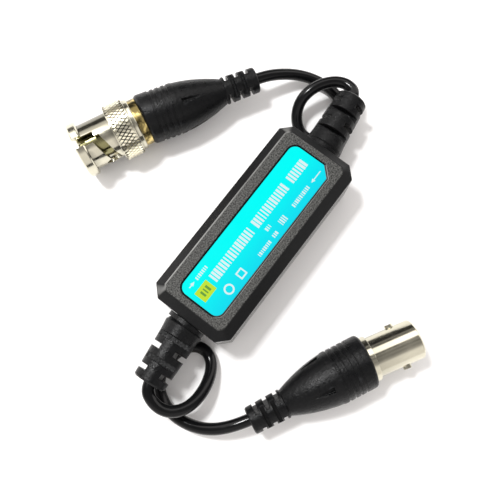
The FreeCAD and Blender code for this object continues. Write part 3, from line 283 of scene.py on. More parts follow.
def shared_group(build):
    """The group that a function builds, which has the function's name and is built once."""
    return bpy.data.node_groups.get(build.__name__) or build(build.__name__)


def moulded_grain(name):
    """Fine flecks, as a spark eroded mould leaves them: a height and a mask of the raised flecks."""
    group, start, end = new_group(
        name,
        [("Scale", "Float", 2600.0), ("Contrast", "Float", 0.12)],
        [("Height", "Float"), ("Flecks", "Float")],
    )
    place = add_node(group, "TexCoord")
    noise = add_node(group, "TexNoise", Detail=3.0, Roughness=0.65)
    low = add_node(group, "Math", "SUBTRACT")
    high = add_node(group, "Math", "ADD")
    low.inputs[0].default_value = high.inputs[0].default_value = 0.5
    spread = add_node(group, "MapRange")
    link = group.links.new
    link(place.outputs["Object"], noise.inputs["Vector"])
    link(start.outputs["Scale"], noise.inputs["Scale"])
    link(start.outputs["Contrast"], low.inputs[1])
    link(start.outputs["Contrast"], high.inputs[1])
    link(noise.outputs["Fac"], spread.inputs["Value"])
    link(low.outputs[0], spread.inputs["From Min"])
    link(high.outputs[0], spread.inputs["From Max"])
    link(noise.outputs["Fac"], end.inputs["Height"])
    link(spread.outputs["Result"], end.inputs["Flecks"])
    return group


def handled_surface(name):
    """Soft cloudy changes of gloss where a surface has been handled."""
    group, start, end = new_group(
        name,
        [("Scale", "Float", 220.0), ("Least", "Float", 0.3), ("Most", "Float", 0.5)],
        [("Roughness", "Float"), ("Clouds", "Float")],
    )
    place = add_node(group, "TexCoord")
    noise = add_node(group, "TexNoise", Detail=4.0, Distortion=0.4)
    spread = add_node(group, "MapRange", From_Min=0.3, From_Max=0.7)
    link = group.links.new
    link(place.outputs["Object"], noise.inputs["Vector"])
    link(start.outputs["Scale"], noise.inputs["Scale"])
    link(noise.outputs["Fac"], spread.inputs["Value"])
    link(start.outputs["Least"], spread.inputs["To Min"])
    link(start.outputs["Most"], spread.inputs["To Max"])
    link(spread.outputs["Result"], end.inputs["Roughness"])
    link(noise.outputs["Fac"], end.inputs["Clouds"])
    return group


def painted_edge_light(name):
    """A mask that grows from hollows to raised edges, which the finishes use for painted shade in hollows and
    painted highlights on raised edges.
    """
    group, start, end = new_group(
        name, [("Begin", "Float", 0.51), ("Full", "Float", 0.58)], [("Edge", "Float")]
    )
    shape = add_node(group, "NewGeometry")
    spread = add_node(group, "MapRange")
    link = group.links.new
    link(shape.outputs["Pointiness"], spread.inputs["Value"])
    link(start.outputs["Begin"], spread.inputs["From Min"])
    link(start.outputs["Full"], spread.inputs["From Max"])
    link(spread.outputs["Result"], end.inputs["Edge"])
    return group


def turned_lines(name):
    """The fine lines that a lathe tool leaves round a turned piece, whose axis is the vector's X."""
    group, start, end = new_group(
        name, [("Vector", "Vector", (0.0, 0.0, 0.0)), ("Scale", "Float", 1.0)], [("Lines", "Float")]
    )
    noise = add_node(group, "TexNoise", Detail=2.0)
    link = group.links.new
    link(start.outputs["Vector"], noise.inputs["Vector"])
    link(start.outputs["Scale"], noise.inputs["Scale"])
    link(noise.outputs["Fac"], end.inputs["Lines"])
    return group


class Finish:
    """A material's tree while it is put together: the shader, and short ways to add and join nodes."""

    def __init__(self, name, colour, roughness, **constants):
        self.material = bpy.data.materials.new(name)
        self.material.use_nodes = True
        self.tree = self.material.node_tree
        self.shader = self.tree.nodes["Principled BSDF"]
        self.shader.inputs["Base Color"].default_value = (*colour, 1)
        self.shader.inputs["Roughness"].default_value = roughness
        for label, value in constants.items():
            self.shader.inputs[label.replace("_", " ")].default_value = value
        self.material.diffuse_color = (*colour, 1)

    def add(self, kind, operation=None, **values):
        return add_node(self.tree, kind, operation, **values)

    def group(self, build, **values):
        node = self.add("Group")
        node.node_tree = shared_group(build)
        for label, value in values.items():
            node.inputs[label].default_value = value
        return node

    def join(self, output, target):
        self.tree.links.new(output, target)

    def blend(self, mask, first, second):
        """Mixes two colours, each a socket or a value, by a mask."""
        node = self.add("Mix")
        node.data_type = "RGBA"
        self.join(mask, node.inputs["Factor"])
        for label, colour in (("A", first), ("B", second)):
            socket = next(s for s in node.inputs if s.name == label and s.type == "RGBA")
            if isinstance(colour, bpy.types.NodeSocket):
                self.join(colour, socket)
            else:
                socket.default_value = (*colour, 1)
        return next(s for s in node.outputs if s.type == "RGBA")

    def times(self, first, second):
        """Multiplies two sockets."""
        node = self.add("Math", "MULTIPLY")
        self.join(first, node.inputs[0])
        self.join(second, node.inputs[1])
        return node.outputs[0]

    def paint(self, output):
        self.join(output, self.shader.inputs["Base Color"])

    def gloss(self, scale, least, most):
        """Feeds a cloudy roughness to the surface, and gives the clouds."""
        node = self.group(handled_surface, Scale=scale, Least=least, Most=most)
        self.join(node.outputs["Roughness"], self.shader.inputs["Roughness"])
        return node.outputs["Clouds"]

    def emboss(self, height, strength, distance):
        """Feeds a height to the surface's normal. The distance is in millimetres."""
        node = self.add("Bump", Strength=strength, Distance=distance * MM)
        self.join(height, node.inputs["Height"])
        self.join(node.outputs["Normal"], self.shader.inputs["Normal"])


def housing_finish():
    """Black plastic: a grained top, darker bevels, a painted highlight along one bevel of the lid and glossier
    upright walls.
    """
    look = colours()
    finish = Finish("housing_plastic", look.housing, 0.5)
    grain = finish.group(moulded_grain, Scale=3000.0, Contrast=0.1)
    place = finish.add("TexCoord")
    split = finish.add("SeparateXYZ")
    top = finish.add("MapRange", From_Min=0.9, From_Max=0.99)
    finish.join(place.outputs["Normal"], split.inputs[0])
    finish.join(split.outputs["Z"], top.inputs["Value"])
    grained = finish.blend(grain.outputs["Flecks"], shade(look.housing_grain, 0.16), look.housing_grain)
    body = finish.blend(top.outputs["Result"], look.housing, grained)
    lit = finish.gloss(180.0, 0.42, 0.6)
    # Painted highlight: the lid's bevel on the key light's side is painted pale, broken up by the gloss clouds
    for axis, empty, full in PAINTED_HIGHLIGHT_BEVEL:
        part = finish.add("MapRange", From_Min=empty, From_Max=full)
        finish.join(split.outputs[axis], part.inputs["Value"])
        lit = finish.times(lit, part.outputs["Result"])
    finish.paint(finish.blend(lit, body, look.housing_edge_highlight))
    rough = finish.shader.inputs["Roughness"].links[0].from_socket
    for label, flat, upright in (("Specular IOR Level", 0.14, 1.0), ("Roughness", 1.0, 0.3)):
        part = finish.add("MapRange", From_Min=0.25, From_Max=0.05, To_Min=flat, To_Max=upright)
        finish.join(split.outputs["Z"], part.inputs["Value"])
        share = part.outputs["Result"]
        if label == "Roughness":
            share = finish.times(rough, share)
        finish.join(share, finish.shader.inputs[label])
    finish.emboss(grain.outputs["Height"], 0.5, 0.05)
    return finish.material


def overlay_finish():
    """Glossy printed film, a little deeper in tone towards the jack's side."""
    look = colours()
    finish = Finish("overlay_film", look.overlay, 0.28, Specular_IOR_Level=0.02)
    place = finish.add("TexCoord")
    split = finish.add("SeparateXYZ")
    low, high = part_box("label")
    fade = finish.add("MapRange", From_Min=high[1], From_Max=low[1] * 1.6, To_Min=-0.25)
    finish.join(place.outputs["Object"], split.inputs[0])
    finish.join(split.outputs["Y"], fade.inputs["Value"])
    finish.paint(finish.blend(fade.outputs["Result"], look.overlay, look.overlay_deep))
    clouds = finish.gloss(140.0, 0.22, 0.36)
    finish.emboss(clouds, 0.05, 0.05)
    return finish.material


def ink_finish(name, colour):
    finish = Finish(name, colour, 0.4, Specular_IOR_Level=0.05)
    grain = finish.group(moulded_grain, Scale=5200.0, Contrast=0.3)
    finish.paint(finish.blend(grain.outputs["Flecks"], colour, shade(colour, 0.9)))
    finish.gloss(300.0, 0.34, 0.46)
    return finish.material


def rubber_finish():
    """Soft moulded plastic: nearly black, semi matte and uneven, with painted highlights on its raised edges."""
    look = colours()
    finish = Finish("soft_moulding", look.rubber, 0.4, Specular_IOR_Level=0.16)
    edge = finish.group(painted_edge_light, Begin=0.55, Full=0.66)
    grain = finish.group(moulded_grain, Scale=1500.0, Contrast=0.2)
    tone = finish.blend(grain.outputs["Flecks"], look.rubber, shade(look.rubber, 1.5))
    # Painted highlight: raised edges get a much lighter rubber colour
    finish.paint(finish.blend(edge.outputs["Edge"], tone, shade(look.rubber, 4)))
    finish.gloss(520.0, 0.24, 0.44)
    finish.emboss(grain.outputs["Height"], 0.9, 0.14)
    return finish.material


def sheath_finish():
    """The leads' smooth glossy plastic, with faint waves from the extruder."""
    look = colours()
    finish = Finish("lead_sheath", look.sheath, 0.25, Specular_IOR_Level=0.2)
    clouds = finish.gloss(300.0, 0.1, 0.22)
    finish.paint(finish.blend(clouds, look.sheath, shade(look.sheath, 1.7)))
    finish.emboss(clouds, 0.12, 0.05)
    return finish.material


def metal_finish(name, colour, axis, least, most, hollow_shade=0.45, patches=0.84, soft=0.5):
    """Plated turned metal: fine lines round its axis, cloudy gloss, tarnished patches and painted shade in its
    hollows.
    """
    finish = Finish(name, colour, least, Metallic=1.0)
    turn = Vector(axis).to_track_quat("X", "Z").to_matrix().inverted().to_euler()
    place = finish.add("TexCoord")
    mapping = finish.add("Mapping", Rotation=turn, Scale=(9000.0, 260.0, 260.0))
    finish.join(place.outputs["Object"], mapping.inputs["Vector"])
    lines = finish.group(turned_lines, Scale=1.0)
    finish.join(mapping.outputs["Vector"], lines.inputs["Vector"])
    edge = finish.group(painted_edge_light, Begin=0.45, Full=0.505)
    clouds = finish.gloss(420.0, least, most)
    spots = finish.add("MapRange", From_Min=0.5 - soft, From_Max=0.5 + soft)
    finish.join(clouds, spots.inputs["Value"])
    tone = finish.blend(spots.outputs["Result"], shade(colour, patches), colour)
    # Painted shade: the metal's hollows are darkened to a share of its colour
    finish.paint(finish.blend(edge.outputs["Edge"], shade(colour, hollow_shade), tone))
    finish.emboss(lines.outputs["Lines"], 0.12, 0.012)
    return finish.material


def knurl_finish(name, colour, axis_place, axis, foot, crest):
    """Plated metal with painted shade down in the knurl's grooves, fading to its colour on the points."""
    finish = Finish(name, colour, 0.2, Metallic=1.0)
    place = finish.add("TexCoord")
    reach = place.outputs["Object"]
    for operation, value in (("SUBTRACT", axis_place), ("CROSS_PRODUCT", axis), ("LENGTH", None)):
        step = finish.add("VectorMath", operation)
        if value:
            step.inputs[1].default_value = value
        finish.join(reach, step.inputs[0])
        reach = step.outputs["Value" if operation == "LENGTH" else "Vector"]
    height = finish.add("MapRange", From_Min=foot, From_Max=crest)
    finish.join(reach, height.inputs["Value"])
    # Painted shade in the knurl's grooves, fading to the full colour on its points
    finish.paint(finish.blend(height.outputs["Result"], shade(colour, 0.14), colour))
    clouds = finish.gloss(420.0, 0.16, 0.3)
    finish.emboss(clouds, 0.1, 0.02)
    return finish.material


def plain_finish(name, colour, roughness, scale, metallic=0.0):
    """An inner piece's finish: its own tone with fine flecks and an uneven gloss."""
    finish = Finish(name, colour, roughness, Metallic=metallic)
    grain = finish.group(moulded_grain, Scale=scale, Contrast=0.2)
    finish.paint(finish.blend(grain.outputs["Flecks"], colour, shade(colour, 0.72)))
    finish.gloss(scale / 6, 0.8 * roughness, min(1.0, 1.2 * roughness))
    finish.emboss(grain.outputs["Height"], 0.15, 0.02)
    return finish.material


def wound_finish():
    """Enamelled wire laid side by side: ridges round the ring with painted shade in the creases between the turns.
    """
    copper = screen(176, 92, 40)
    finish = Finish("enamelled_wire", copper, 0.25, Metallic=0.85)
    place = finish.add("TexCoord")
    turns = finish.add("TexGradient")
    turns.gradient_type = "RADIAL"
    wave = finish.add("Math", "MULTIPLY")
    wave.inputs[1].default_value = 2 * math.pi * WIRE_TURNS
    ridge = finish.add("Math", "SINE")
    finish.join(place.outputs["Object"], turns.inputs["Vector"])
    finish.join(turns.outputs["Fac"], wave.inputs[0])
    finish.join(wave.outputs[0], ridge.inputs[0])
    # Painted shade: the creases between the turns get a darker copper
    finish.paint(finish.blend(ridge.outputs[0], shade(copper, 0.45), copper))
    finish.gloss(600.0, 0.2, 0.34)
    finish.emboss(ridge.outputs[0], 0.6, 0.08)
    return finish.material


def floor_finish():
    """A pale studio floor with the faintest unevenness."""
    tone = bpy.context.scene.isolator_stage.floor_tone
    plain = (tone, tone, tone)
    finish = Finish("studio_floor", plain, 0.7, Specular_IOR_Level=0.2)
    grain = finish.group(moulded_grain, Scale=60.0, Contrast=0.4)
    warmer = (0.99 * tone, 0.985 * tone, 0.98 * tone)
    finish.paint(finish.blend(grain.outputs["Flecks"], plain, warmer))
    return finish.material


# Meshes


def new_piece(name, mesh):
    piece = bpy.data.objects.new(name, mesh)
    bpy.context.collection.objects.link(piece)
    return piece


def settle(piece, material, body, place=None):
    """Turns a piece's modifiers into plain mesh, and gives it its place, material and body."""
    graph = bpy.context.evaluated_depsgraph_get()
    mesh = bpy.data.meshes.new_from_object(piece.evaluated_get(graph))
    piece.modifiers.clear()
    piece.data = mesh
    if place is not None:
        mesh.transform(place)
    mesh.materials.clear()
    mesh.materials.append(material)
    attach(piece, body)
    return piece


def paint_node(node, material):
    """Gives its finish to a CAD piece that is used as it is."""
    frame["nodes"][node].data.materials[0] = material


def dressed(node, material, edge, body=STILL, reshape=None):
    """A copy of a CAD piece with welded corners, rounded edges and even shading, which stands for it."""
    mesh = frame["nodes"][node].data.copy()
    for name in ("custom_normal", "sharp_edge", "sharp_face"):
        attribute = mesh.attributes.get(name)
        if attribute is not None:
            mesh.attributes.remove(attribute)
    work = bmesh.new()
    work.from_mesh(mesh)
    bmesh.ops.remove_doubles(work, verts=work.verts, dist=WELD)
    bmesh.ops.dissolve_limit(work, angle_limit=FLAT_ANGLE, verts=work.verts, edges=work.edges)
    if reshape:
        reshape(work)
    for face in work.faces:
        face.smooth = True
    work.to_mesh(mesh)
    work.free()
    mesh.set_sharp_from_angle(angle=SHARP_ANGLE)
    piece = new_piece(node + "_dressed", mesh)
    if edge:
        bevel = piece.modifiers.new("rounded_edges", "BEVEL")
        bevel.width = edge
        bevel.segments = 2
        bevel.limit_method = "ANGLE"
        bevel.angle_limit = SHARP_ANGLE
        bevel.use_clamp_overlap = False
        even = piece.modifiers.new("even_shading", "WEIGHTED_NORMAL")
        even.keep_sharp = True
    settle(piece, material, body)
    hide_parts(node)
    return piece


def plate(work, corners, low, high):
    """A thin closed plate with the given outline between two heights, in millimetres."""
    foot = [work.verts.new(Vector((x, y, low)) * MM) for x, y in corners]
    head = [work.verts.new(Vector((x, y, high)) * MM) for x, y in corners]
    work.faces.new(head)
    work.faces.new(list(reversed(foot)))
    for index in range(len(corners)):
        after = (index + 1) % len(corners)
        work.faces.new((foot[index], foot[after], head[after], head[index]))


def open_tree(name, inputs):
    """A geometry tree with its inputs, their identifiers by label, and its first node."""
    tree = bpy.data.node_groups.new(name, "GeometryNodeTree")
    tree.interface.new_socket("Geometry", in_out="OUTPUT", socket_type="NodeSocketGeometry")
    sockets = {}
    for label, kind, value in inputs:
        socket = tree.interface.new_socket(label, in_out="INPUT", socket_type="NodeSocket" + kind)
        socket.default_value = value
        sockets[label] = socket.identifier
    return tree, sockets, tree.nodes.new("NodeGroupInput")


def close_tree(tree, instances, material):
    """Turns the instances into real mesh with one material, as the tree's result."""
    real = tree.nodes.new("GeometryNodeRealizeInstances")
    paint = tree.nodes.new("GeometryNodeSetMaterial")
    paint.inputs["Material"].default_value = material
    end = tree.nodes.new("NodeGroupOutput")
    tree.links.new(instances, real.inputs["Geometry"])
    tree.links.new(real.outputs["Geometry"], paint.inputs["Geometry"])
    tree.links.new(paint.outputs["Geometry"], end.inputs["Geometry"])


def bar_tree(name, material):
    """A row of upright bars of uneven width: print that says nothing."""
    inputs = [("Count", "Int", 8), ("Pitch", "Vector", (MM, 0, 0)), ("Bar", "Vector", (MM, MM, MM))]
    tree, sockets, start = open_tree(name, inputs + [("Seed", "Int", 1)])
    line = tree.nodes.new("GeometryNodeMeshLine")
    bar = tree.nodes.new("GeometryNodeMeshCube")
    width = tree.nodes.new("FunctionNodeRandomValue")
    width.data_type = "FLOAT_VECTOR"
    width.inputs["Min"].default_value = (0.55, 0.94, 1)
    width.inputs["Max"].default_value = (1.3, 1, 1)
    put = tree.nodes.new("GeometryNodeInstanceOnPoints")
    link = tree.links.new
    link(start.outputs["Count"], line.inputs["Count"])
    link(start.outputs["Pitch"], line.inputs["Offset"])
    link(start.outputs["Bar"], bar.inputs["Size"])
    link(start.outputs["Seed"], width.inputs["Seed"])
    link(line.outputs["Mesh"], put.inputs["Points"])
    link(bar.outputs["Mesh"], put.inputs["Instance"])
    link(width.outputs["Value"], put.inputs["Scale"])
    close_tree(tree, put.outputs["Instances"], material)
    return tree, sockets


def knurl_tree(name, material):
    """Four sided points in staggered rings round the X axis, as a diamond knurling tool presses them."""
    counts = [("Around", "Int", 46), ("Rows", "Int", 5)]
    lengths = [("Row distance", 0.8), ("Root radius", 6.86), ("Height", 0.34)]
    inputs = counts + [(label, "Float", value * MM) for label, value in lengths]
    tree, sockets, start = open_tree(name, inputs)
    link = tree.links.new

    def feed(node, values):
        for index, value in enumerate(values):
            if isinstance(value, bpy.types.NodeSocket):
                link(value, node.inputs[index])
            else:
                node.inputs[index].default_value = value
        return node.outputs[0]

    def reckon(operation, *values):
        return feed(add_node(tree, "Math", operation), values)

    def vector(*values):
        return feed(add_node(tree, "CombineXYZ"), values)

    count = reckon("MULTIPLY", start.outputs["Around"], start.outputs["Rows"])
    line = tree.nodes.new("GeometryNodeMeshLine")
    link(count, line.inputs["Count"])
    index = tree.nodes.new("GeometryNodeInputIndex").outputs[0]
    row = reckon("FLOOR", reckon("DIVIDE", reckon("ADD", index, 0.5), start.outputs["Around"]))
    step = reckon("ADD", index, reckon("MULTIPLY", reckon("MODULO", row, 2.0), 0.5))
    angle = reckon("DIVIDE", reckon("MULTIPLY", step, 2 * math.pi), start.outputs["Around"])
    middle = reckon("DIVIDE", reckon("SUBTRACT", start.outputs["Rows"], 1.0), 2.0)
    along = reckon("MULTIPLY", reckon("SUBTRACT", row, middle), start.outputs["Row distance"])
    cosine = reckon("COSINE", angle)
    sine = reckon("SINE", angle)
    radius = start.outputs["Root radius"]
    place = tree.nodes.new("GeometryNodeSetPosition")
    link(line.outputs["Mesh"], place.inputs["Geometry"])
    link(
        vector(along, reckon("MULTIPLY", radius, cosine), reckon("MULTIPLY", radius, sine)),
        place.inputs["Position"],
    )
    across = reckon("DIVIDE", reckon("MULTIPLY", radius, math.pi), start.outputs["Around"])
    point = tree.nodes.new("GeometryNodeMeshCone")
    point.inputs["Vertices"].default_value = 4
    link(across, point.inputs["Radius Bottom"])
    link(reckon("MULTIPLY", across, KNURL_TOP), point.inputs["Radius Top"])
    link(start.outputs["Height"], point.inputs["Depth"])
    turn = tree.nodes.new("FunctionNodeAxesToRotation")
    turn.primary_axis = "Z"
    turn.secondary_axis = "X"
    link(vector(0.0, cosine, sine), turn.inputs["Primary Axis"])
    turn.inputs["Secondary Axis"].default_value = (1, 0, 0)
    put = tree.nodes.new("GeometryNodeInstanceOnPoints")
    link(place.outputs["Geometry"], put.inputs["Points"])
    link(point.outputs["Mesh"], put.inputs["Instance"])
    link(turn.outputs["Rotation"], put.inputs["Rotation"])
    link(vector(reckon("DIVIDE", start.outputs["Row distance"], across), 1.0, 1.0), put.inputs["Scale"])
    close_tree(tree, put.outputs["Instances"], material)
    return tree, sockets


def grown(name, grower, values):
    """An object whose mesh a geometry tree makes, its inputs set by identifier."""
    tree, sockets = grower
    piece = new_piece(name, bpy.data.meshes.new(name))
    modifier = piece.modifiers.new(name, "NODES")
    modifier.node_group = tree
    for label, value in values.items():
        modifier[sockets[label]] = value
    return piece


# Where the plug and the jack lie


def axis_frame(place, out):
    """A frame whose X axis points out of a connector's mouth."""
    ahead = Vector(out).normalized()
    up = Vector((0, 0, 1))
    side = up.cross(ahead)
    turn = Matrix((ahead, side, up)).transposed().to_4x4()
    return Matrix.Translation(Vector(place)) @ turn


PLUG_AXIS = Vector(TURN["axis"])
JACK_AXIS = Vector(MOUNTS["jack_barrel"]["axis"])
PLUG_FRAME = axis_frame(TURN["pos_m"], PLUG_AXIS)


def cut_back_knurl(work):
    """Moves the plain knurl band of the collar in to the foot of the knurl's points."""
    home = PLUG_FRAME.inverted()
    crest = sizes().knurl_crest
    root = sizes().knurl_root
    for vertex in work.verts:
        local = home @ vertex.co
        radius = math.hypot(local.y, local.z)
        if radius > crest - KNURL_SLACK and KNURL_START < local.x < KNURL_END:
            shrink = root / radius
            vertex.co = PLUG_FRAME @ Vector((local.x, local.y * shrink, local.z * shrink))


class ISOLATOR_OT_stage(bpy.types.Operator):
    """Puts up the pale floor, the main light, the room's light and the camera of the photograph"""

    bl_idname = "isolator.stage"
    bl_label = "Stage and camera"

    def execute(self, context):
        stage = context.scene.isolator_stage
        camera = bpy.data.cameras.new("studio_camera")
        camera.sensor_width = CAMERA_SENSOR
        camera.lens = CAMERA_LENS
        camera.clip_start = 0.01
        viewer = bpy.data.objects.new("studio_camera", camera)
        context.collection.objects.link(viewer)
        right = Vector(CAMERA_RIGHT).normalized()
        back = Vector(CAMERA_BACK).normalized()
        up = back.cross(right)
        turn = Matrix((right, up, back)).transposed().to_4x4()
        viewer.matrix_world = Matrix.Translation(Vector(CAMERA_PLACE) * MM) @ turn
        context.scene.camera = viewer

        mesh = bpy.data.meshes.new("studio_floor")
        sides = ((-1, -1), (1, -1), (1, 1), (-1, 1))
        corners = [(x * FLOOR_REACH, y * FLOOR_REACH, FLOOR_LEVEL) for x, y in sides]
        mesh.from_pydata(corners, [], [(0, 1, 2, 3)])
        mesh.materials.append(floor_finish())
        new_piece("studio_floor", mesh)

        self.light("key_light", KEY_PLACE, KEY_SIZE, stage.key_power)
        context.scene.world = self.room(stage)
        context.scene.view_settings.view_transform = "Standard"
        return {"FINISHED"}

    def room(self, stage):
        """Even warm light all round. Mirrored rays see a room that is pale on the viewer's side, with a
        bright strip past the ceiling's middle and dark beyond it."""
        world = bpy.data.worlds.new("studio_room")
        world.use_nodes = True
        tree = world.node_tree
        sky = tree.nodes["Background"]
        sky.inputs["Color"].default_value = ROOM_TINT
        way = add_node(tree, "TexCoord")
        beyond = add_node(tree, "VectorMath", "DOT_PRODUCT")
        beyond.inputs[1].default_value = FAR_SIDE
        spread = add_node(tree, "MapRange", From_Min=-1)
        strip = add_node(tree, "ValToRGB")
        for index, (stop, tone) in enumerate(MIRRORED_ROOM):
            ramp = strip.color_ramp.elements
            element = ramp[index] if index < 2 else ramp.new(stop)
            element.position = stop
            element.color = (tone, tone, tone, 1)
        strength = add_node(tree, "Math", "MULTIPLY")
        strength.inputs[1].default_value = stage.mirrored_room
        path = add_node(tree, "LightPath")
        choose = add_node(tree, "Mix", A=stage.room_light)
        link = tree.links.new
        link(way.outputs["Generated"], beyond.inputs[0])
        link(beyond.outputs["Value"], spread.inputs["Value"])
        link(spread.outputs["Result"], strip.inputs["Fac"])
        link(strip.outputs["Color"], strength.inputs[0])
        link(path.outputs["Is Glossy Ray"], choose.inputs["Factor"])
        link(strength.outputs[0], choose.inputs["B"])
        link(choose.outputs["Result"], sky.inputs["Strength"])
        return world

    def light(self, name, place, across, power):
        lamp = bpy.data.lights.new(name, "AREA")
        lamp.shape = "SQUARE"
        lamp.size = across
        lamp.energy = power
        holder = bpy.data.objects.new(name, lamp)
        bpy.context.collection.objects.link(holder)
        holder.location = place
        holder.rotation_euler = (-Vector(place)).to_track_quat("-Z", "Y").to_euler()


class ISOLATOR_OT_leads(bpy.types.Operator):
    """Lays the two coaxial leads in their loops"""

    bl_idname = "isolator.leads"
    bl_label = "Leads"

    def execute(self, context):
        material = sheath_finish()
        low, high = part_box("lower_shell")
        plug_exit = (high[0], 0, LEAD_HEIGHT)
        jack_exit = (low[0], 0, LEAD_HEIGHT)
        plug_nodes = ["strain_relief_plug"] + PLUG_PIECES
        jack_nodes = ["strain_relief_jack"] + JACK_PIECES
        self.lay("lead_plug", PLUG_ROUTE, material, plug_exit, PLUG_LEAD_LENGTH, plug_nodes)
        self.lay("lead_jack", JACK_ROUTE, material, jack_exit, JACK_LEAD_LENGTH, jack_nodes)
        return {"FINISHED"}

    def lay(self, node, route, material, leaves, length, pieces):
        curve = bpy.data.curves.new(node + "_line", "CURVE")
        curve.dimensions = "3D"
        curve.bevel_depth = LEAD_RADIUS
        curve.bevel_resolution = 6
        curve.resolution_u = 10
        curve.use_fill_caps = True
        spline = curve.splines.new("NURBS")
        spline.points.add(len(route) - 1)
        for point, place in zip(spline.points, route):
            point.co = (*(Vector(place) * MM), 1)
        spline.order_u = 3
        spline.use_endpoint_u = True
        curve.materials.append(material)
        lead = new_piece(node + "_dressed", curve)
        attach(lead, STILL)
        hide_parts(node)


class ISOLATOR_OT_box(bpy.types.Operator):
    """Dresses the two shells of the box"""

    bl_idname = "isolator.box"
    bl_label = "Box"

    def execute(self, context):
        material = housing_finish()
        for node in ("upper_shell", "lower_shell"):
            dressed(node, material, sizes().shell_edge)
        return {"FINISHED"}


class ISOLATOR_OT_overlay(bpy.types.Operator):
    """Dresses the overlay and lays its plain print on it"""

    bl_idname = "isolator.overlay"
    bl_label = "Overlay and print"

    def execute(self, context):
        look = colours()
        dressed("label", overlay_finish(), sizes().label_edge)
        self.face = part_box("label")[1][2] / MM
        self.head = self.face + sizes().print_thick / MM
        ink = ink_finish("pale_ink", look.ink)
        block = ink_finish("block_ink", look.block)
        block_print = ink_finish("block_print", look.block_ink)
        grower = bar_tree("print_bars", ink)
        for seed, row in enumerate(PRINT_ROWS):
            self.row(grower, row, seed, ink)

        work = bmesh.new()
        self.frame_shape(work, *RING)
        self.frame_shape(work, *SQUARE)
        for arrow in ARROWS:
            self.arrow(work, *arrow)
        self.printed("plain_signs", work, ink)
        work = bmesh.new()
        plate(work, BLOCK_CORNERS, self.face - PRINT_SINK, self.head)
        self.printed("bright_block", work, block)
        self.head += BLOCK_RISE
        self.row(bar_tree("block_bars", block_print), BLOCK_ROW, BLOCK_SEED, block_print)
        return {"FINISHED"}

    def printed(self, name, work, material):
        bmesh.ops.recalc_face_normals(work, faces=work.faces)
        mesh = bpy.data.meshes.new(name)
        work.to_mesh(mesh)
        work.free()
        mesh.materials.append(material)
        piece = new_piece(name, mesh)
        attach(piece, STILL)

    def row(self, grower, row, seed, ink):
        """One row of bars. The grower is a tree with its sockets."""
        name, left, right, low, high, kind = row
        pitch = getattr(sizes(), kind + "_pitch")
        bar = getattr(sizes(), kind + "_bar")
        count = round((right - left) * MM / pitch)
        thick = (self.head - self.face + 2 * PRINT_SINK) * MM
        bar_size = (bar, (high - low) * MM, thick)
        values = {"Count": count, "Pitch": (pitch, 0.0, 0.0), "Bar": bar_size, "Seed": seed}
        piece = grown(name + "_bars", grower, values)
        place = Vector((left * MM + pitch / 2, (low + high) / 2 * MM, self.head * MM - thick / 2))
        settle(piece, ink, STILL, Matrix.Translation(place))

    def frame_shape(self, work, x, y, reach, width, sides):
        """An open ring or square, as a plain sign."""
        start = math.pi / sides
        outer = []
        inner = []
        for index in range(sides):
            angle = start + 2 * math.pi * index / sides
            for line, radius in ((outer, reach), (inner, reach - width)):
                line.append((x + radius * math.cos(angle), y + radius * math.sin(angle)))
        low, high = self.face - PRINT_SINK, self.head
        for index in range(sides):
            after = (index + 1) % sides
            plate(work, [outer[index], outer[after], inner[after], inner[index]], low, high)
        bmesh.ops.remove_doubles(work, verts=work.verts, dist=WELD / 10)
        doubled = [face for face in work.faces if all(len(edge.link_faces) > 2 for edge in face.edges)]
        bmesh.ops.delete(work, geom=doubled, context="FACES_ONLY")

    def arrow(self, work, tail, tip, y):
        """A short line with a pointed head."""
        way = 1 if tip > tail else -1
        neck = tip - way * ARROW_HEAD
        low, high = self.face - PRINT_SINK, self.head
        left, right = y - ARROW_LINE, y + ARROW_LINE
        plate(work, [(tail, left), (neck, left), (neck, right), (tail, right)], low, high)
        plate(work, [(neck, y - ARROW_WING), (tip, y), (neck, y + ARROW_WING)], low, high)


class ISOLATOR_OT_reliefs(bpy.types.Operator):
    """Dresses the slotted strain reliefs and the connectors' boots"""

    bl_idname = "isolator.reliefs"
    bl_label = "Strain reliefs and boots"

    def execute(self, context):
        material = rubber_finish()
        for node in ("strain_relief_plug", "strain_relief_jack", "plug_boot", "jack_boot"):
            dressed(node, material, sizes().rubber_edge)
        return {"FINISHED"}


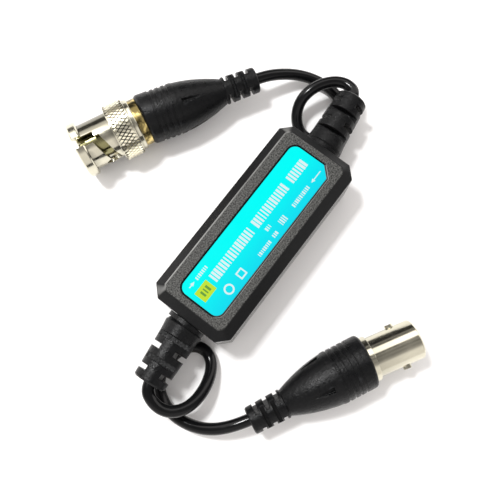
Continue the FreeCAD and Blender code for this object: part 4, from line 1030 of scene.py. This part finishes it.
class ISOLATOR_OT_plug(bpy.types.Operator):
    """Dresses the plug: its knurled collar, spindle, contacts and sprung washers"""

    bl_idname = "isolator.plug"
    bl_label = "Plug"

    def execute(self, context):
        look = colours()
        edge = sizes().metal_edge
        # The collar's hollows get deep painted shade
        nickel = metal_finish("collar_nickel", look.nickel, PLUG_AXIS, 0.1, 0.2, hollow_shade=0.12)
        neck = metal_finish("neck_plating", look.neck, PLUG_AXIS, 0.14, 0.26, patches=0.2, soft=0.07)
        steel = metal_finish("spring_steel", screen(178, 178, 180), PLUG_AXIS, 0.2, 0.34)
        gold = metal_finish("gold_plate", screen(232, 190, 110), PLUG_AXIS, 0.12, 0.22)
        contact = metal_finish("contact_plating", look.contact, PLUG_AXIS, 0.16, 0.28)
        white = plain_finish("white_dielectric", screen(236, 234, 226), 0.4, 1800.0)
        gasket = plain_finish("gasket_silicone", screen(150, 60, 46), 0.55, 1500.0)
        dressed("coupling_collar", nickel, edge, COLLAR, reshape=cut_back_knurl)
        # The knurl's colour is the nickel lightened: a painted highlight on its points
        self.knurl(shade(look.nickel, 1.35))
        dressed("plug_body", neck, edge)
        dressed("plug_outer_contact", contact, THIN_EDGE)
        dressed("plug_insulator", white, THIN_EDGE)
        dressed("plug_centre_pin", gold, 0)
        dressed("flat_washer", steel, 0, WASHER)
        paint_node("snap_ring", steel)
        self.press(dressed("wave_washer", steel, 0))
        paint_node("gasket", gasket)
        paint_node("plug_crimp_sleeve", nickel)
        return {"FINISHED"}

    def press(self, washer):
        """Gives the sprung washer its own copy of its mesh."""
        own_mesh(washer)

    def knurl(self, colour):
        """The knurl's points on the collar's cut back band."""
        size = sizes()
        foot = size.knurl_root + KNURL_SHADE_DEPTH
        crest = size.knurl_crest - KNURL_HIGHLIGHT_DEPTH
        material = knurl_finish("knurled_nickel_painted_light", colour, TURN["pos_m"], PLUG_AXIS, foot, crest)
        piece = grown(
            "collar_knurl",
            knurl_tree("diamond_knurl", material),
            {
                "Around": size.knurl_around,
                "Rows": size.knurl_rows,
                "Row distance": size.knurl_row,
                "Root radius": size.knurl_root,
                "Height": size.knurl_crest - size.knurl_root,
            },
        )
        middle = (KNURL_START + KNURL_END) / 2
        place = PLUG_FRAME @ Matrix.Translation((middle, 0, 0))
        settle(piece, material, COLLAR, place)


class ISOLATOR_OT_jack(bpy.types.Operator):
    """Dresses the jack's barrel, insulator and contact"""

    bl_idname = "isolator.jack"
    bl_label = "Jack"

    def execute(self, context):
        barrel = metal_finish("barrel_nickel", colours().nickel, JACK_AXIS, 0.1, 0.2)
        gold = metal_finish("socket_gold", screen(232, 190, 110), JACK_AXIS, 0.12, 0.22)
        white = plain_finish("socket_dielectric", screen(236, 234, 226), 0.4, 1800.0)
        dressed("jack_body", barrel, sizes().metal_edge)
        dressed("jack_insulator", white, THIN_EDGE)
        dressed("jack_centre_contact", gold, 0)
        paint_node("jack_crimp_sleeve", barrel)
        return {"FINISHED"}


class ISOLATOR_OT_inside(bpy.types.Operator):
    """Gives the pieces inside the box and the connectors' core wires their finishes"""

    bl_idname = "isolator.inside"
    bl_label = "Inside pieces"

    def execute(self, context):
        board = plain_finish("solder_mask", screen(24, 92, 54), 0.3, 1500.0)
        ferrite = plain_finish("ferrite", screen(58, 58, 60), 0.75, 2600.0)
        can = plain_finish("capacitor_can", screen(200, 200, 204), 0.3, 2400.0, 1.0)
        chip = plain_finish("chip_ceramic", screen(40, 38, 38), 0.5, 3000.0)
        tinned = plain_finish("tinned_wire", screen(206, 206, 200), 0.3, 2000.0, 1.0)
        core = plain_finish("core_insulation", screen(232, 228, 214), 0.5, 1600.0)
        ends = ["plug_centre_wire", "plug_screen_tail", "jack_centre_wire", "jack_screen_tail"]
        for material, nodes in (
            (board, ["circuit_board"]),
            (ferrite, ["toroid_core"]),
            (wound_finish(), ["input_winding", "output_winding"]),
            (can, ["input_capacitor", "output_capacitor"]),
            (chip, ["chip_resistors"]),
            (tinned, ends),
            (core, ["plug_core_wire", "jack_core_wire"]),
        ):
            for node in nodes:
                paint_node(node, material)
        return {"FINISHED"}


class ISOLATOR_PT_panel(bpy.types.Panel):
    """Lists the isolator's pieces and its sizes and colours"""

    bl_idname = "ISOLATOR_PT_panel"
    bl_label = "Isolator"
    bl_space_type = "VIEW_3D"
    bl_region_type = "UI"
    bl_category = "Isolator"

    def draw(self, context):
        for operator in OPERATORS:
            self.layout.operator(operator.bl_idname)
        for group in (sizes(), colours(), context.scene.isolator_stage):
            column = self.layout.column()
            for name in group.__annotations__:
                column.prop(group, name)


OPERATORS = (
    ISOLATOR_OT_stage,
    ISOLATOR_OT_box,
    ISOLATOR_OT_overlay,
    ISOLATOR_OT_reliefs,
    ISOLATOR_OT_plug,
    ISOLATOR_OT_jack,
    ISOLATOR_OT_leads,
    ISOLATOR_OT_inside,
)
CLASSES = (IsolatorSizes, IsolatorColours, StageSettings, *OPERATORS, ISOLATOR_PT_panel)


def register():
    for kind in CLASSES:
        bpy.utils.register_class(kind)
    bpy.types.Scene.isolator_sizes = PointerProperty(type=IsolatorSizes)
    bpy.types.Scene.isolator_colours = PointerProperty(type=IsolatorColours)
    bpy.types.Scene.isolator_stage = PointerProperty(type=StageSettings)


def unregister():
    del bpy.types.Scene.isolator_stage
    del bpy.types.Scene.isolator_colours
    del bpy.types.Scene.isolator_sizes
    for kind in reversed(CLASSES):
        bpy.utils.unregister_class(kind)


def main():
    register()
    bpy.ops.isolator.stage()
    bpy.ops.isolator.box()
    bpy.ops.isolator.overlay()
    bpy.ops.isolator.reliefs()
    bpy.ops.isolator.plug()
    bpy.ops.isolator.jack()
    bpy.ops.isolator.leads()
    bpy.ops.isolator.inside()


if __name__ == "__main__":
    main()
